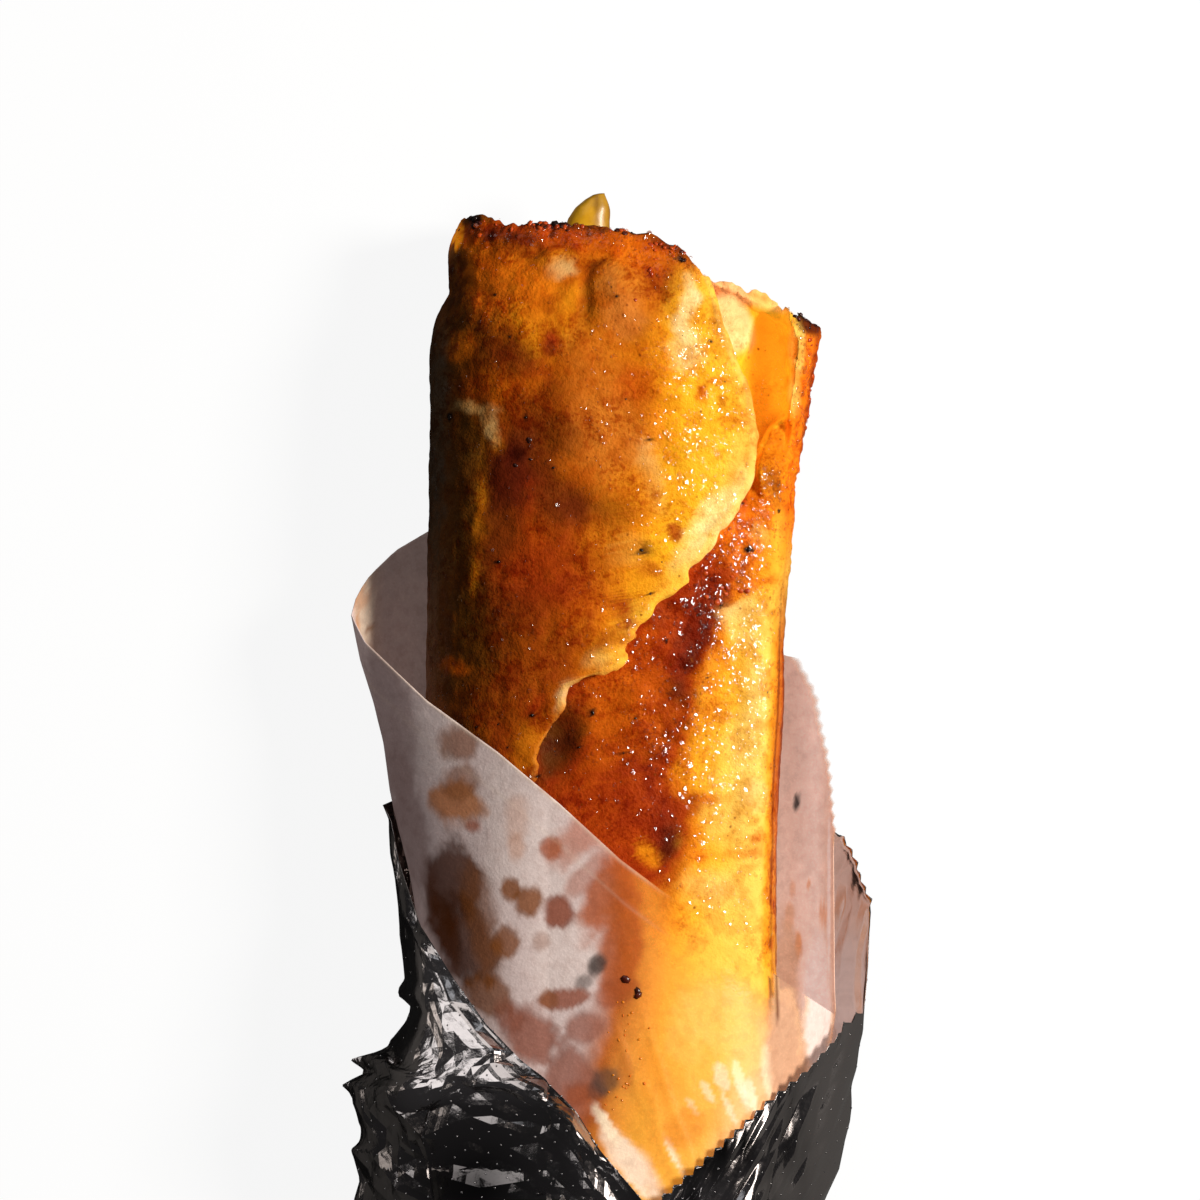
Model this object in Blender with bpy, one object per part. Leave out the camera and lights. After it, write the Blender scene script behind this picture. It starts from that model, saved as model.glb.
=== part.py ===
"""Grilled flatbread roll with a slice of pickle, in greaseproof paper and foil.

It lies on its back as it is seen from above. Lengths are in millimetres here
and in metres in the scene. X runs to the right, Y along the roll towards its
open mouth and Z up; the foil rests on Z = 0 and the origin is on its underside.
"""

import bmesh
import bpy
import numpy as np

MM = 0.001
SEED = 7

# Roll: edges seen from above and heights, each as (y, value).
ROLL_LEFT = (
    (-108, -18), (-95, -25), (-82, -29.2), (-60, -31.3), (0, -31.9), (32.4, -32),
    (48.6, -32), (66.6, -31.7), (84.6, -31.5), (95.4, -31.3), (99.4, -30.6),
    (101.7, -29.7), (104.4, -28.4), (109.8, -28.3), (117.5, -26.5),
)
ROLL_RIGHT = (
    (-108, 16), (-95, 22), (-82, 26.6), (-70, 29.3), (-60, 30.4), (-24, 31.1),
    (-16, 30.6), (16.2, 31.1), (30.6, 31.9), (48.6, 32.4), (55.8, 33.3),
    (64.8, 33.7), (70.2, 34.2), (75.6, 35.1), (81, 36), (88.2, 37.3), (96.3, 38.7),
)
ROLL_TOP = (
    (-108, 4), (-100, 15), (-92, 26), (-84, 33), (-76, 36.3), (-60, 37.5),
    (-40, 38), (40, 38), (70, 37.6), (85, 37), (95, 35.6), (105, 33), (117, 27),
)
ROLL_LOW = (
    (-92, 2.1), (61, 2.1), (78, -0.6), (100, -0.6), (108, 1.2), (117, 4.5),
)
MIDDLE_SHARE = 0.48
POWER_LEFT = 2.3
POWER_RIGHT = 3.2
POWER_UNDER = 3.2
ROLL_END_Y = -82.0
END_ROUND = 20.0
END_SCALE = 0.52

# Mouth of the roll: y of its edge across the width, left 0 to right 1.
MOUTH_Y = (
    (0, 116.6), (0.05, 117.5), (0.13, 116.3), (0.2, 115.2), (0.3, 115.9),
    (0.43, 114.8), (0.54, 113.4), (0.63, 111.4), (0.69, 106.8), (0.79, 104.9),
    (0.9, 101.2), (1, 97.6),
)
MOUTH_FULL_Y = 117.0
MOUTH_BLEND_Y = 60.0
LIP_ROUND = 1.0
LIP_SCALE = 0.97
RECESS_CENTRE = (-4.0, 15.8)
RECESS_HALF = (19.5, 7.8)
RECESS_FLOOR_Y = 103.0
RECESS_TOP_Y = 130.0

# Front flap: (y, x) of its free edge, its thickness and how far it is undercut.
FLAP_EDGE = (
    (-19.8, -31.5), (-9, -26), (3.6, -18.9), (15.3, -11.7), (19.8, -10.3),
    (24.3, -8.1), (29.7, -4.5), (34.2, -0.9), (37.8, 2.7), (41.4, 6.3), (45, 9.9),
    (51.3, 15.3), (55.8, 18), (59.4, 20.7), (66.1, 23.9), (69.7, 26.6), (79, 26.8),
    (84.6, 26.1), (87.5, 25.2), (89.8, 23.9), (93.2, 22.7), (97, 21.4),
    (103.3, 19.6), (109.1, 16.9),
)
FLAP_THICK = ((-24, 0.4), (0, 1.8), (20, 2.2), (117, 2.2))
FLAP_UNDERCUT = ((-24, 0.9), (0, 1.6), (20, 2.4), (117, 2.4))
FLAP_GAP = ((-24, 0.3), (10, 0.5), (24, 0.9), (40, 0.6), (117, 0.7))
FLAP_SHARES = (0.09, 0.95)

# Open fold at the right of the mouth, and the crest beside it.
POCKET_DEPTH = ((66, 0), (72, 4.5), (80, 8.5), (90, 11), (117, 12.5))
POCKET_NEAR = 2.5
POCKET_WALL = (5.4, 2.8)
CREST_LIFT = 0.9
CREST_Y = (-18.0, 10.0)

# Blisters and dents of the front: x, y, radius, height.
BLISTERS = (
    (2.7, 103.5, 4.6, 1.5), (-2.9, 101.5, 1.6, -0.7), (-9.5, 108, 3.6, 0.8),
    (-20, 92, 6, 0.7), (12, 88, 7, 0.6), (-24, 62, 6, 0.6), (8, 66, 8, 0.5),
    (26, 32, 6, 0.5),
)

FLAP_POINTS = 14
UNDER_POINTS = 13
BELOW_POINTS = 15
RING_RUNS = ((ROLL_END_Y, -70, 4), (-70, 60, 17), (60, 96, 14), (96, 116, 10))

# Pickle: (y, left edge, half thickness); its right side is straight.
PICKLE_RIGHT = 0.9
PICKLE_Z = 16.6
PICKLE_RINGS = (
    (82, -7.2, 2.6), (84, -7.8, 3), (98, -7.9, 3.1), (110, -7.9, 3.1),
    (114.8, -7.6, 3.1), (117.4, -6.7, 2.9), (119.4, -5.3, 2.6),
    (120.9, -3.6, 2.1), (121.9, -1.6, 1.3),
)
PICKLE_SIDES = 14
PICKLE_POWER = 2.4
SLOT_GAP = 0.4

# Wrappers: thickness, height of the underside's middle, room over the roll.
SHEET = 0.5
PAPER_BASE = 1.3
PAPER_ROOM = 0.8
FOIL_BASE = 0.25
FOIL_ROOM = 1.85
NEST_FRONT = 1.2
NEST_BACK = 1.05
FOIL_FOLD_DROP = 1.0
MOST_LIFT = 3.0
PAPER_FLAT = (-19.0, 21.0)
FOIL_FLAT = (-23.0, 24.0)
FLAT_SHARE = 0.6
TANGENT = (-10.0, 20.0)
TANGENT_SHARES = (0.4, 0.6)
HUG_POWER = 2.3
FLARE_POWER = 1.4
FLARE_FULL = 9.0
FOLD_LEFT_Z = (
    (-108, 2.6), (-95, 9), (-85, 13), (-75, 15.5), (-60, 17), (-20, 17.5),
    (10, 18.5), (45, 20),
)
FOLD_RIGHT_Z = (
    (-108, 2.6), (-95, 8), (-85, 10.5), (-70, 11.5), (-45, 12), (-26, 12.5),
    (0, 13.5), (38, 15),
)
END_RISE = ((-108, 1.2), (-88, 0))
ROW_SHARES = (0, 0.06, 0.14, 0.22, 0.3, 0.38, 0.46, 0.54, 0.62, 0.7, 0.78, 0.86,
              0.93, 1)
ROW_EASE = 1.5

# Paper: side folds as (y, x), then its edges as (x, y) seen from above.
PAPER_LEFT = (
    (-108, -21), (-89, -28.6), (-75, -31.9), (-60, -33), (-20, -33.4),
    (-7.2, -33.8), (0, -35.1), (7.2, -36.9), (14.4, -38.3), (23.4, -39.6),
    (30.6, -41.4), (37.8, -43.7), (45.9, -45.4),
)
PAPER_RIGHT = (
    (-108, 18.5), (-89, 26.8), (-75, 31), (-59, 35), (-45, 38), (-26, 41.5),
    (0, 41.5), (6.1, 41.2), (10.4, 40.9), (16.4, 40.5), (21.1, 39.8), (25.9, 38.7),
    (30.8, 38), (33.1, 37.1), (35.6, 35.8), (38, 34.4),
)
PAPER_FRONT_EDGE = (
    (-45.4, 45.9), (-43, 41.2), (-31.5, 30.6), (-18.9, 21.6), (-8.1, 12.6),
    (2.7, 2.7), (9.9, -2.7), (15.3, -6.3), (30.6, -18.5), (41.5, -26.5),
)
PAPER_SIDE_EDGE = ((41.5, -26.5), (41.2, 6.1))
PAPER_CUT_EDGE = (
    (41.2, 6.1), (40.9, 10.4), (40.5, 16.4), (39.8, 21.1), (38.7, 25.9), (38, 30.8),
    (37.1, 33.1), (35.8, 35.6), (34.4, 38),
)
PAPER_BACK_EDGE = (
    (34.4, 38), (0, 50), (-31.9, 61.2), (-37.8, 57.6), (-42.3, 53.1),
    (-44.6, 49.5), (-45.4, 45.9),
)
PAPER_END_Y = -89.0

# Foil: the same.
FOIL_LEFT = (
    (-108, -22.5), (-90, -33), (-75, -41), (-59.4, -44.8), (-41, -45.6),
    (-36, -43), (-31.5, -37.5), (-19.8, -35.6), (-10.8, -36.4), (1.8, -37.4),
    (11.7, -39.2),
)
FOIL_RIGHT = (
    (-108, 20), (-85, 32), (-70, 37), (-59.4, 40), (-54.9, 41.4), (-50.4, 42.7),
    (-43.2, 44.1), (-32.4, 45.4), (-26.1, 46.3), (-18.9, 47), (-15.5, 47.3),
    (-11, 47.9), (-6.8, 47.7), (-4.9, 47), (-3.1, 46.3), (-1.1, 45.5), (1.1, 45),
    (3.1, 43.9), (6.1, 42.4),
)
FOIL_LEFT_EDGE = (
    (-39.2, 11.7), (-37.5, 6), (-36, 0.2), (-32, -10.1), (-26.6, -18.9), (-21, -26.3),
    (-14.8, -32.4), (-8.6, -38), (-5.2, -41.6), (-0.9, -48.6), (8.1, -59.4),
)
FOIL_CUT_FRONT = ((8.1, -59.4), (46.3, -26.1))
FOIL_SIDE_EDGE = ((46.3, -26.1), (47, -18.9), (47.7, -6.8))
FOIL_CUT_BACK = ((47.7, -6.8), (46.3, -3.1), (45, 1.1), (42.4, 6.1))
FOIL_BACK_EDGE = ((42.4, 6.1), (22, 17), (0, 22), (-22, 18), (-39.2, 11.7))
FOIL_END_Y = -108.0
TOOTH = 1.0
CRUMPLE = 2.8
CRUMPLE_CELL = 5.0
CRUMPLE_SHARES = (0.6, 0.46)
CRUMPLE_END_Y = (-84.0, -96.0)
CRUMPLE_FLOOR = (3.0, 9.0)

SLOPE_STEP = 0.2
FLAP_SEARCH = 14


def table(pairs, at):
    """Straight-line values of a (position, value) list."""
    positions, values = np.array(pairs, float).T
    return np.interp(at, positions, values)


def ease(value, start, end):
    """Smooth step from 0 at start to 1 at end."""
    share = np.clip((value - start) / (end - start), 0, 1)
    return share * share * (3 - 2 * share)


def arch(share, power):
    """Height share of a superellipse at a width share."""
    inner = np.clip(np.abs(share), 0, 1)
    return (1 - inner**power) ** (1 / power)


def roll_frame(y):
    """Centre x, half width, middle z, rise above it and fall below it at y."""
    left, right = table(ROLL_LEFT, y), table(ROLL_RIGHT, y)
    low, top = table(ROLL_LOW, y), table(ROLL_TOP, y)
    middle = low + MIDDLE_SHARE * (top - low)
    return (left + right) / 2, (right - left) / 2, middle, top - middle, middle - low


def clear_scene():
    for item in list(bpy.data.objects):
        bpy.data.objects.remove(item)


def material(name, colour, roughness, metallic=0.0):
    """One Principled surface."""
    made = bpy.data.materials.new(name)
    made.use_nodes = True
    shader = made.node_tree.nodes["Principled BSDF"]
    shader.inputs["Base Color"].default_value = (*colour, 1)
    shader.inputs["Roughness"].default_value = roughness
    shader.inputs["Metallic"].default_value = metallic
    return made


def add_mesh(name, points, faces, surface=None):
    """Object from millimetre points, with its faces turned outwards."""
    data = bpy.data.meshes.new(name)
    data.from_pydata((np.asarray(points) * MM).tolist(), [], faces)
    work = bmesh.new()
    work.from_mesh(data)
    bmesh.ops.triangulate(work, faces=work.faces)
    if work.calc_volume(signed=True) < 0:
        bmesh.ops.reverse_faces(work, faces=work.faces)
    work.to_mesh(data)
    work.free()
    if surface:
        data.materials.append(surface)
    item = bpy.data.objects.new(name, data)
    bpy.context.collection.objects.link(item)
    return item


def tube_faces(rings, sides, first=0, flip=False):
    """Quads between successive closed rings of points."""
    faces = []
    for ring in range(rings - 1):
        for side in range(sides):
            here = first + ring * sides + side
            beside = first + ring * sides + (side + 1) % sides
            face = (here, beside, beside + sides, here + sides)
            faces.append(face[::-1] if flip else face)
    return faces


def capped_tube(name, rings, surface=None):
    """Closed solid through a stack of rings, each an array of points."""
    count, sides = rings.shape[:2]
    faces = tube_faces(count, sides)
    faces.append(tuple(range(sides))[::-1])
    faces.append(tuple(range((count - 1) * sides, count * sides)))
    return add_mesh(name, rings.reshape(-1, 3), faces, surface)


def mouth_stretch(level, share):
    """y on a ring: rings bend towards the shape of the mouth as they near it."""
    reach = (table(MOUTH_Y, share) - MOUTH_BLEND_Y) / (MOUTH_FULL_Y - MOUTH_BLEND_Y)
    return np.where(
        level > MOUTH_BLEND_Y, MOUTH_BLEND_Y + (level - MOUTH_BLEND_Y) * reach, level
    )


def ring_levels():
    """Nominal y of every ring, closer together near the mouth."""
    runs = [np.linspace(*run, endpoint=False) for run in RING_RUNS]
    return np.concatenate([*runs, [MOUTH_FULL_Y - LIP_ROUND, MOUTH_FULL_Y]])


def flap_share(levels):
    """Width share of the flap's free edge on every ring."""
    share = np.full(levels.shape, 0.6)
    for _ in range(FLAP_SEARCH):
        y = mouth_stretch(levels, share)
        centre, half = roll_frame(y)[:2]
        share = ((table(FLAP_EDGE, y) - centre) / half + 1) / 2
        share = np.clip(share, *FLAP_SHARES)
    return share


def angle_of(width):
    """Superellipse angle at a width share from -1 to 1, on the front."""
    power = np.where(width < 0, POWER_LEFT, POWER_RIGHT)
    return np.arccos(np.sign(width) * np.abs(width) ** (power / 2))


def width_at(angle, power):
    return np.sign(np.cos(angle)) * np.abs(np.cos(angle)) ** (2 / power)


def front_width(angle):
    """Width share at an angle of the front, which is squarer at the right."""
    power = np.where(np.cos(angle) < 0, POWER_LEFT, POWER_RIGHT)
    return width_at(angle, power)


def flap_run(edge, half):
    """Width shares of the flap from the left side to just before its rim."""
    last = angle_of(edge - 0.9 / half)
    return front_width(np.linspace(np.pi, last, FLAP_POINTS).T)


def under_run(start):
    """Width shares of the layer below, from beneath the flap to the right side."""
    return front_width(np.linspace(angle_of(start), 0, UNDER_POINTS).T)


def rim_run(edge, half, thick, cut):
    """Width shares and drops of the flap's rounded rim and its undercut."""
    inward = np.stack([0.25 + 0 * cut, 0 * cut, 0.5 + 0 * cut, cut], axis=1)
    drops = np.stack([0.2 * thick, 0.6 * thick, thick, thick + 0.1], axis=1)
    return edge[:, None] - inward / half[:, None], drops


def blisters(x, y):
    """Height of the blisters and dents at a point seen from above."""
    total = np.zeros(np.broadcast(x, y).shape)
    for at_x, at_y, radius, height in BLISTERS:
        far = ((x - at_x) ** 2 + (y - at_y) ** 2) / radius**2
        total += height * np.exp(-far)
    return total


def pocket(x, y, start, right):
    """Depth of the open fold between the flap and the right wall."""
    opened = ease(x, start, start + POCKET_NEAR)
    wall = 1 - ease(x, right - POCKET_WALL[0], right - POCKET_WALL[1])
    return table(POCKET_DEPTH, y) * opened * wall


def front_part(levels, width, drop, under=False):
    """Points of the front at width shares, lowered by drop."""
    y = mouth_stretch(levels[:, None], (width + 1) / 2)
    centre, half, middle, rise, _ = roll_frame(y)
    power = np.where(width < 0, POWER_LEFT, POWER_RIGHT)
    x = centre + half * width
    height = arch(width, power)
    crest = CREST_LIFT * np.exp(-(((width - 0.84) / 0.1) ** 2)) * ease(y, *CREST_Y)
    z = middle + rise * height + crest - drop
    z += blisters(x, y) * ease(height, 0, 0.5)
    if under:
        z -= pocket(x, y, x[:, :1], centre + half)
    return np.stack([x, y, z], axis=2)


def below_part(levels):
    """Points of the underside, from the right side to the left, kept off the floor."""
    angle = np.linspace(0, -np.pi, BELOW_POINTS + 2)[1:-1][None, :]
    width = width_at(angle, POWER_UNDER) + 0 * levels[:, None]
    y = mouth_stretch(levels[:, None], (width + 1) / 2)
    centre, half, middle, _, fall = roll_frame(y)
    z = np.maximum(middle - fall * arch(width, POWER_UNDER), 0)
    return np.stack([centre + half * width, y, z], axis=2)


def roll_rings():
    """All rings of the roll, each from the left side over the front and back."""
    levels = ring_levels()
    edge = 2 * flap_share(levels) - 1
    at_edge = mouth_stretch(levels, (edge + 1) / 2)
    half = roll_frame(at_edge)[1]
    thick, cut = table(FLAP_THICK, at_edge), table(FLAP_UNDERCUT, at_edge)
    step = thick + table(FLAP_GAP, at_edge)
    rim, drops = rim_run(edge, half, thick, cut)
    under = under_run(rim[:, -1])
    settled = ease(1 - under, 0.06, 0.3)
    flap = front_part(levels, flap_run(edge, half), 0)
    lip = front_part(levels, rim, drops)
    layer = front_part(levels, under, step[:, None] * settled, under=True)
    return np.concatenate([flap, lip, layer, below_part(levels)], axis=1)


def round_ends(rings):
    """Draw the last rings in towards their middles at the lip and at the closed end."""
    level = rings[:, :, 1].mean(axis=1)
    tail = np.clip((ROLL_END_Y + END_ROUND - level) / END_ROUND, 0, 1)
    scale = 1 - (1 - END_SCALE) * (1 - np.sqrt(1 - tail**2))
    scale[-1] = LIP_SCALE
    middle = rings.mean(axis=1, keepdims=True)
    drawn = middle + (rings - middle) * scale[:, None, None]
    drawn[:, :, 1] = rings[:, :, 1]
    return drawn


def cut(item, name, points_or_rings):
    """Take a hidden capped tube out of the item."""
    cutter = capped_tube(name, points_or_rings)
    cutter.hide_render = True
    cutter.display_type = "WIRE"
    boolean = item.modifiers.new(name, "BOOLEAN")
    boolean.operation = "DIFFERENCE"
    boolean.solver = "EXACT"
    boolean.object = cutter


def oval_rings(stations, sides, power):
    """Rings along y from rows of y, centre x, centre z, half width, half height."""
    angle = np.linspace(0, 2 * np.pi, sides, endpoint=False)
    wide = np.sign(np.cos(angle)) * np.abs(np.cos(angle)) ** (2 / power)
    high = np.sign(np.sin(angle)) * np.abs(np.sin(angle)) ** (2 / power)
    y, centre_x, centre_z, half_x, half_z = np.array(stations, float).T[:, :, None]
    x = centre_x + half_x * wide
    z = centre_z + half_z * high
    return np.stack([x, y + 0 * x, z], axis=2)


def pickle_rings(gap=0.0):
    """Rings of the pickle, or of the slot that holds it with a gap all round."""
    stations = []
    for y, left, thick in PICKLE_RINGS:
        stations.append((
            y, (left + PICKLE_RIGHT) / 2, PICKLE_Z,
            (PICKLE_RIGHT - left) / 2 + gap, thick + gap,
        ))
    if gap:
        stations[0] = (stations[0][0] - gap, *stations[1][1:])
        stations = [*stations[:4], (RECESS_TOP_Y, *stations[3][1:])]
    return oval_rings(stations, PICKLE_SIDES, PICKLE_POWER)


def recess_rings():
    centre_x, centre_z = RECESS_CENTRE
    ends = (
        (RECESS_FLOOR_Y, 0.82), (RECESS_FLOOR_Y + 2, 0.96), (RECESS_TOP_Y, 1),
    )
    stations = [
        (y, centre_x, centre_z, RECESS_HALF[0] * size, RECESS_HALF[1] * size)
        for y, size in ends
    ]
    return oval_rings(stations, 22, 2)


def flare_power(gap):
    """Bend of a side fold: it hugs the roll when close and opens out when far."""
    return HUG_POWER - (HUG_POWER - FLARE_POWER) * np.clip(gap / FLARE_FULL, 0, 1)


def fold_heights(y, sides):
    """z of the left and right folds of a sheet."""
    return table(FOLD_LEFT_Z, y) - sides[2], table(FOLD_RIGHT_Z, y) - sides[2]


def front_height(x, y, sides, room):
    """z of a front sheet: it climbs from the side folds and lies over the roll."""
    centre, half, middle, rise, _ = roll_frame(y)

    def roof(at):
        power = np.where(at < centre, POWER_LEFT, POWER_RIGHT)
        share = (at - centre) / (half + room)
        return middle + (rise + room) * arch(share, power)

    height = np.where(np.abs(x - centre) < half + room, roof(x), 0)
    folds = fold_heights(y, sides)
    for k, turn in ((0, -1), (1, 1)):
        fold_x = table(sides[k], y)
        touch = turn * np.minimum(turn * TANGENT[k], TANGENT_SHARES[k] * turn * fold_x)
        share = np.clip((x - touch) / (fold_x - touch), 0, 1)
        power = flare_power(turn * (fold_x - centre) - half)
        tent = folds[k] + (roof(touch) - folds[k]) * arch(share, power)
        height = np.where(share > 0, np.maximum(height, tent), height)
    return height


def back_height(x, y, sides, base, room):
    """z of a back sheet: flat under the roll, rising to the side folds."""
    centre, half, middle, _, fall = roll_frame(y)
    floor = base + table(END_RISE, y)
    height = floor + 0 * x
    folds = fold_heights(y, sides)
    for k, turn in ((0, -1), (1, 1)):
        fold_x = table(sides[k], y)
        flat = turn * np.minimum(turn * sides[3][k], FLAT_SHARE * turn * fold_x)
        share = np.clip((x - flat) / (fold_x - flat), 0, 1)
        power = flare_power(turn * (fold_x - centre) - half)
        height += (folds[k] - floor) * (1 - arch(share, power))
    under = middle - (fall + room) * arch((x - centre) / (half + room), POWER_UNDER)
    near = np.abs(x - centre) < half + room
    return np.where(near, np.minimum(height, np.maximum(under, floor)), height)


def clear_of(height_at, x, y, gap):
    """Height one gap away from another sheet, measured square to its slope."""
    ahead, behind = height_at(x + SLOPE_STEP, y), height_at(x - SLOPE_STEP, y)
    slope = (ahead - behind) / (2 * SLOPE_STEP)
    return height_at(x, y) + np.clip(gap * np.sqrt(1 + slope**2), -MOST_LIFT, MOST_LIFT)


PAPER_SIDES = (PAPER_LEFT, PAPER_RIGHT, 0, PAPER_FLAT)
FOIL_SIDES = (FOIL_LEFT, FOIL_RIGHT, FOIL_FOLD_DROP, FOIL_FLAT)


def paper_front(x, y):
    return front_height(x, y, PAPER_SIDES, PAPER_ROOM)


def paper_back(x, y):
    return back_height(x, y, PAPER_SIDES, PAPER_BASE, PAPER_ROOM)


def in_paper(x, y):
    left, right = table(PAPER_LEFT, y), table(PAPER_RIGHT, y)
    return (x > left + SLOPE_STEP) & (x < right - SLOPE_STEP)


def foil_front(x, y):
    own = front_height(x, y, FOIL_SIDES, FOIL_ROOM)
    over = clear_of(paper_front, x, y, NEST_FRONT)
    return np.where(in_paper(x, y), np.maximum(own, over), own)


def foil_back(x, y):
    own = back_height(x, y, FOIL_SIDES, FOIL_BASE, FOIL_ROOM)
    under = np.maximum(clear_of(paper_back, x, y, -NEST_BACK), FOIL_BASE)
    return np.where(in_paper(x, y), np.minimum(own, under), own)


def resample(line, count):
    """Evenly spaced points along a line of points, its last one left out."""
    line = np.array(line, float)
    along = np.concatenate([[0], np.cumsum(np.hypot(*np.diff(line, axis=0).T))])
    at = np.linspace(0, along[-1], count, endpoint=False)
    return np.stack([np.interp(at, along, line[:, 0]), np.interp(at, along, line[:, 1])])


def turn_of(x, y, sides, front):
    """Position round the sheet, 0 left fold, 1 right fold, 2 left fold again."""
    left, right = table(sides[0], y), table(sides[1], y)
    share = np.clip((x - left) / (right - left), 0, 1)
    if front:
        return np.arccos(1 - 2 * share) / np.pi
    return 1 + np.arcsin(1 - share) * 2 / np.pi


def sheet_edge(runs, sides):
    """Top edge of a sheet: position round it, y, tooth length, position at its end."""
    turns, levels, teeth = [], [], []
    for line, count, front, tooth in runs:
        x, y = resample(line, count)
        turns.append(turn_of(x, y, sides, front))
        levels.append(y)
        teeth.append(tooth * (np.arange(count) % 2))
    turns, levels = np.concatenate(turns), np.concatenate(levels)
    back = np.concatenate([[not front] * count for _, count, front, _ in runs])
    spread = np.cumsum(back) - 1
    ends = np.where(back, 1 + spread / back.sum(), turns)
    return turns, levels, np.concatenate(teeth), ends


def sheet_grid(edge, end_y, sides, heights):
    """Middle surface of a sheet, in columns that run from its top edge to its end."""
    turns, levels, _, ends = edge
    rows = np.array(ROW_SHARES)[:, None]
    turn = turns + (ends - turns) * (1 - (1 - rows) ** 2)
    y = levels + (end_y - levels) * rows**ROW_EASE
    ahead = (1 - np.cos(np.pi * turn)) / 2
    behind = 1 - np.sin(np.pi * (turn - 1) / 2)
    left, right = table(sides[0], y), table(sides[1], y)
    x = left + (right - left) * np.where(turn <= 1, ahead, behind)
    z = np.where(turn <= 1, heights[0](x, y), heights[1](x, y))
    return np.stack([x, y, z], axis=2), turn


def normals_of(grid):
    """Outward unit normals of a closed-round grid."""
    round_way = np.roll(grid, -1, axis=1) - np.roll(grid, 1, axis=1)
    along = np.gradient(grid, axis=0)
    normal = np.cross(round_way, along)
    normal /= np.linalg.norm(normal, axis=2, keepdims=True)
    outward = (normal[:, :, 2] * (grid[:, :, 2] - grid[:, :, 2].mean())).sum()
    return normal * np.sign(outward)


def add_teeth(grid, teeth):
    """Push every other point of the top edge out within the sheet."""
    tangent = np.roll(grid[0], -1, axis=0) - np.roll(grid[0], 1, axis=0)
    tangent /= np.linalg.norm(tangent, axis=1, keepdims=True)
    out = grid[0] - grid[1]
    out -= tangent * (out * tangent).sum(axis=1, keepdims=True)
    out /= np.linalg.norm(out, axis=1, keepdims=True)
    grid[0] += out * teeth[:, None]


def sheet_solid(name, grid, surface):
    """Closed solid of one sheet thickness about a closed-round grid."""
    rows, count = grid.shape[:2]
    offset = normals_of(grid) * SHEET / 2
    points = np.concatenate([grid + offset, grid - offset]).reshape(-1, 3)
    inner = rows * count
    faces = tube_faces(rows, count) + tube_faces(rows, count, inner, flip=True)
    for first, flip in ((0, False), ((rows - 1) * count, True)):
        for side in range(count):
            here, beside = first + side, first + (side + 1) % count
            face = (beside, here, here + inner, beside + inner)
            faces.append(face[::-1] if flip else face)
    return add_mesh(name, points, faces, surface)


def lattice_noise(x, y):
    """Random heights from 0 to 1 on a square lattice, straight between its points."""
    heights = np.random.default_rng(SEED).random((64, 64))
    across, along = x / CRUMPLE_CELL % 63, y / CRUMPLE_CELL % 63
    column, row = across.astype(int), along.astype(int)
    right, up = across - column, along - row
    low = heights[row, column] * (1 - right) + heights[row, column + 1] * right
    high = heights[row + 1, column] * (1 - right) + heights[row + 1, column + 1] * right
    return low * (1 - up) + high * up


def crumple(grid, turn):
    """Push the loose left front and the closed end of the foil out at random."""
    noise = lattice_noise(grid[:, :, 0] + grid[:, :, 2], grid[:, :, 1])
    front = 1 - ease(turn, CRUMPLE_SHARES[1], CRUMPLE_SHARES[0])
    behind = ease(turn, 1.6, 1.9)
    end = 1 - ease(grid[:, :, 1], CRUMPLE_END_Y[1], CRUMPLE_END_Y[0])
    loose = np.maximum(np.maximum(front, behind), 0.6 * end * (turn < 1))
    loose = loose * ease(grid[:, :, 2], *CRUMPLE_FLOOR)
    return grid + normals_of(grid) * (CRUMPLE * noise * loose)[:, :, None]


def make_bread():
    surface = material("bread", (0.56, 0.19, 0.03), 0.42)
    bread = capped_tube("bread", round_ends(roll_rings()), surface)
    cut(bread, "mouth_cutter", recess_rings())
    cut(bread, "slot_cutter", pickle_rings(SLOT_GAP))
    return bread


def make_pickle():
    surface = material("pickle", (0.58, 0.27, 0.012), 0.2)
    return capped_tube("pickle", pickle_rings(), surface)


def make_paper():
    runs = (
        (PAPER_FRONT_EDGE, 18, True, 0),
        (PAPER_SIDE_EDGE, 5, False, 0),
        (PAPER_CUT_EDGE, 28, False, TOOTH),
        (PAPER_BACK_EDGE, 15, False, 0),
    )
    edge = sheet_edge(runs, PAPER_SIDES)
    grid, _ = sheet_grid(edge, PAPER_END_Y, PAPER_SIDES, (paper_front, paper_back))
    add_teeth(grid, edge[2])
    return sheet_solid("paper", grid, material("paper", (0.62, 0.47, 0.43), 0.55))


def make_foil():
    runs = (
        (FOIL_LEFT_EDGE, 16, True, 0),
        (FOIL_CUT_FRONT, 42, True, TOOTH),
        (FOIL_SIDE_EDGE, 4, False, 0),
        (FOIL_CUT_BACK, 12, False, TOOTH),
        (FOIL_BACK_EDGE, 15, False, 0),
    )
    edge = sheet_edge(runs, FOIL_SIDES)
    grid, turn = sheet_grid(edge, FOIL_END_Y, FOIL_SIDES, (foil_front, foil_back))
    add_teeth(grid, edge[2])
    surface = material("foil", (0.72, 0.7, 0.7), 0.16, 1.0)
    return sheet_solid("foil", crumple(grid, turn), surface)


clear_scene()
make_bread()
make_pickle()
make_paper()
make_foil()
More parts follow.
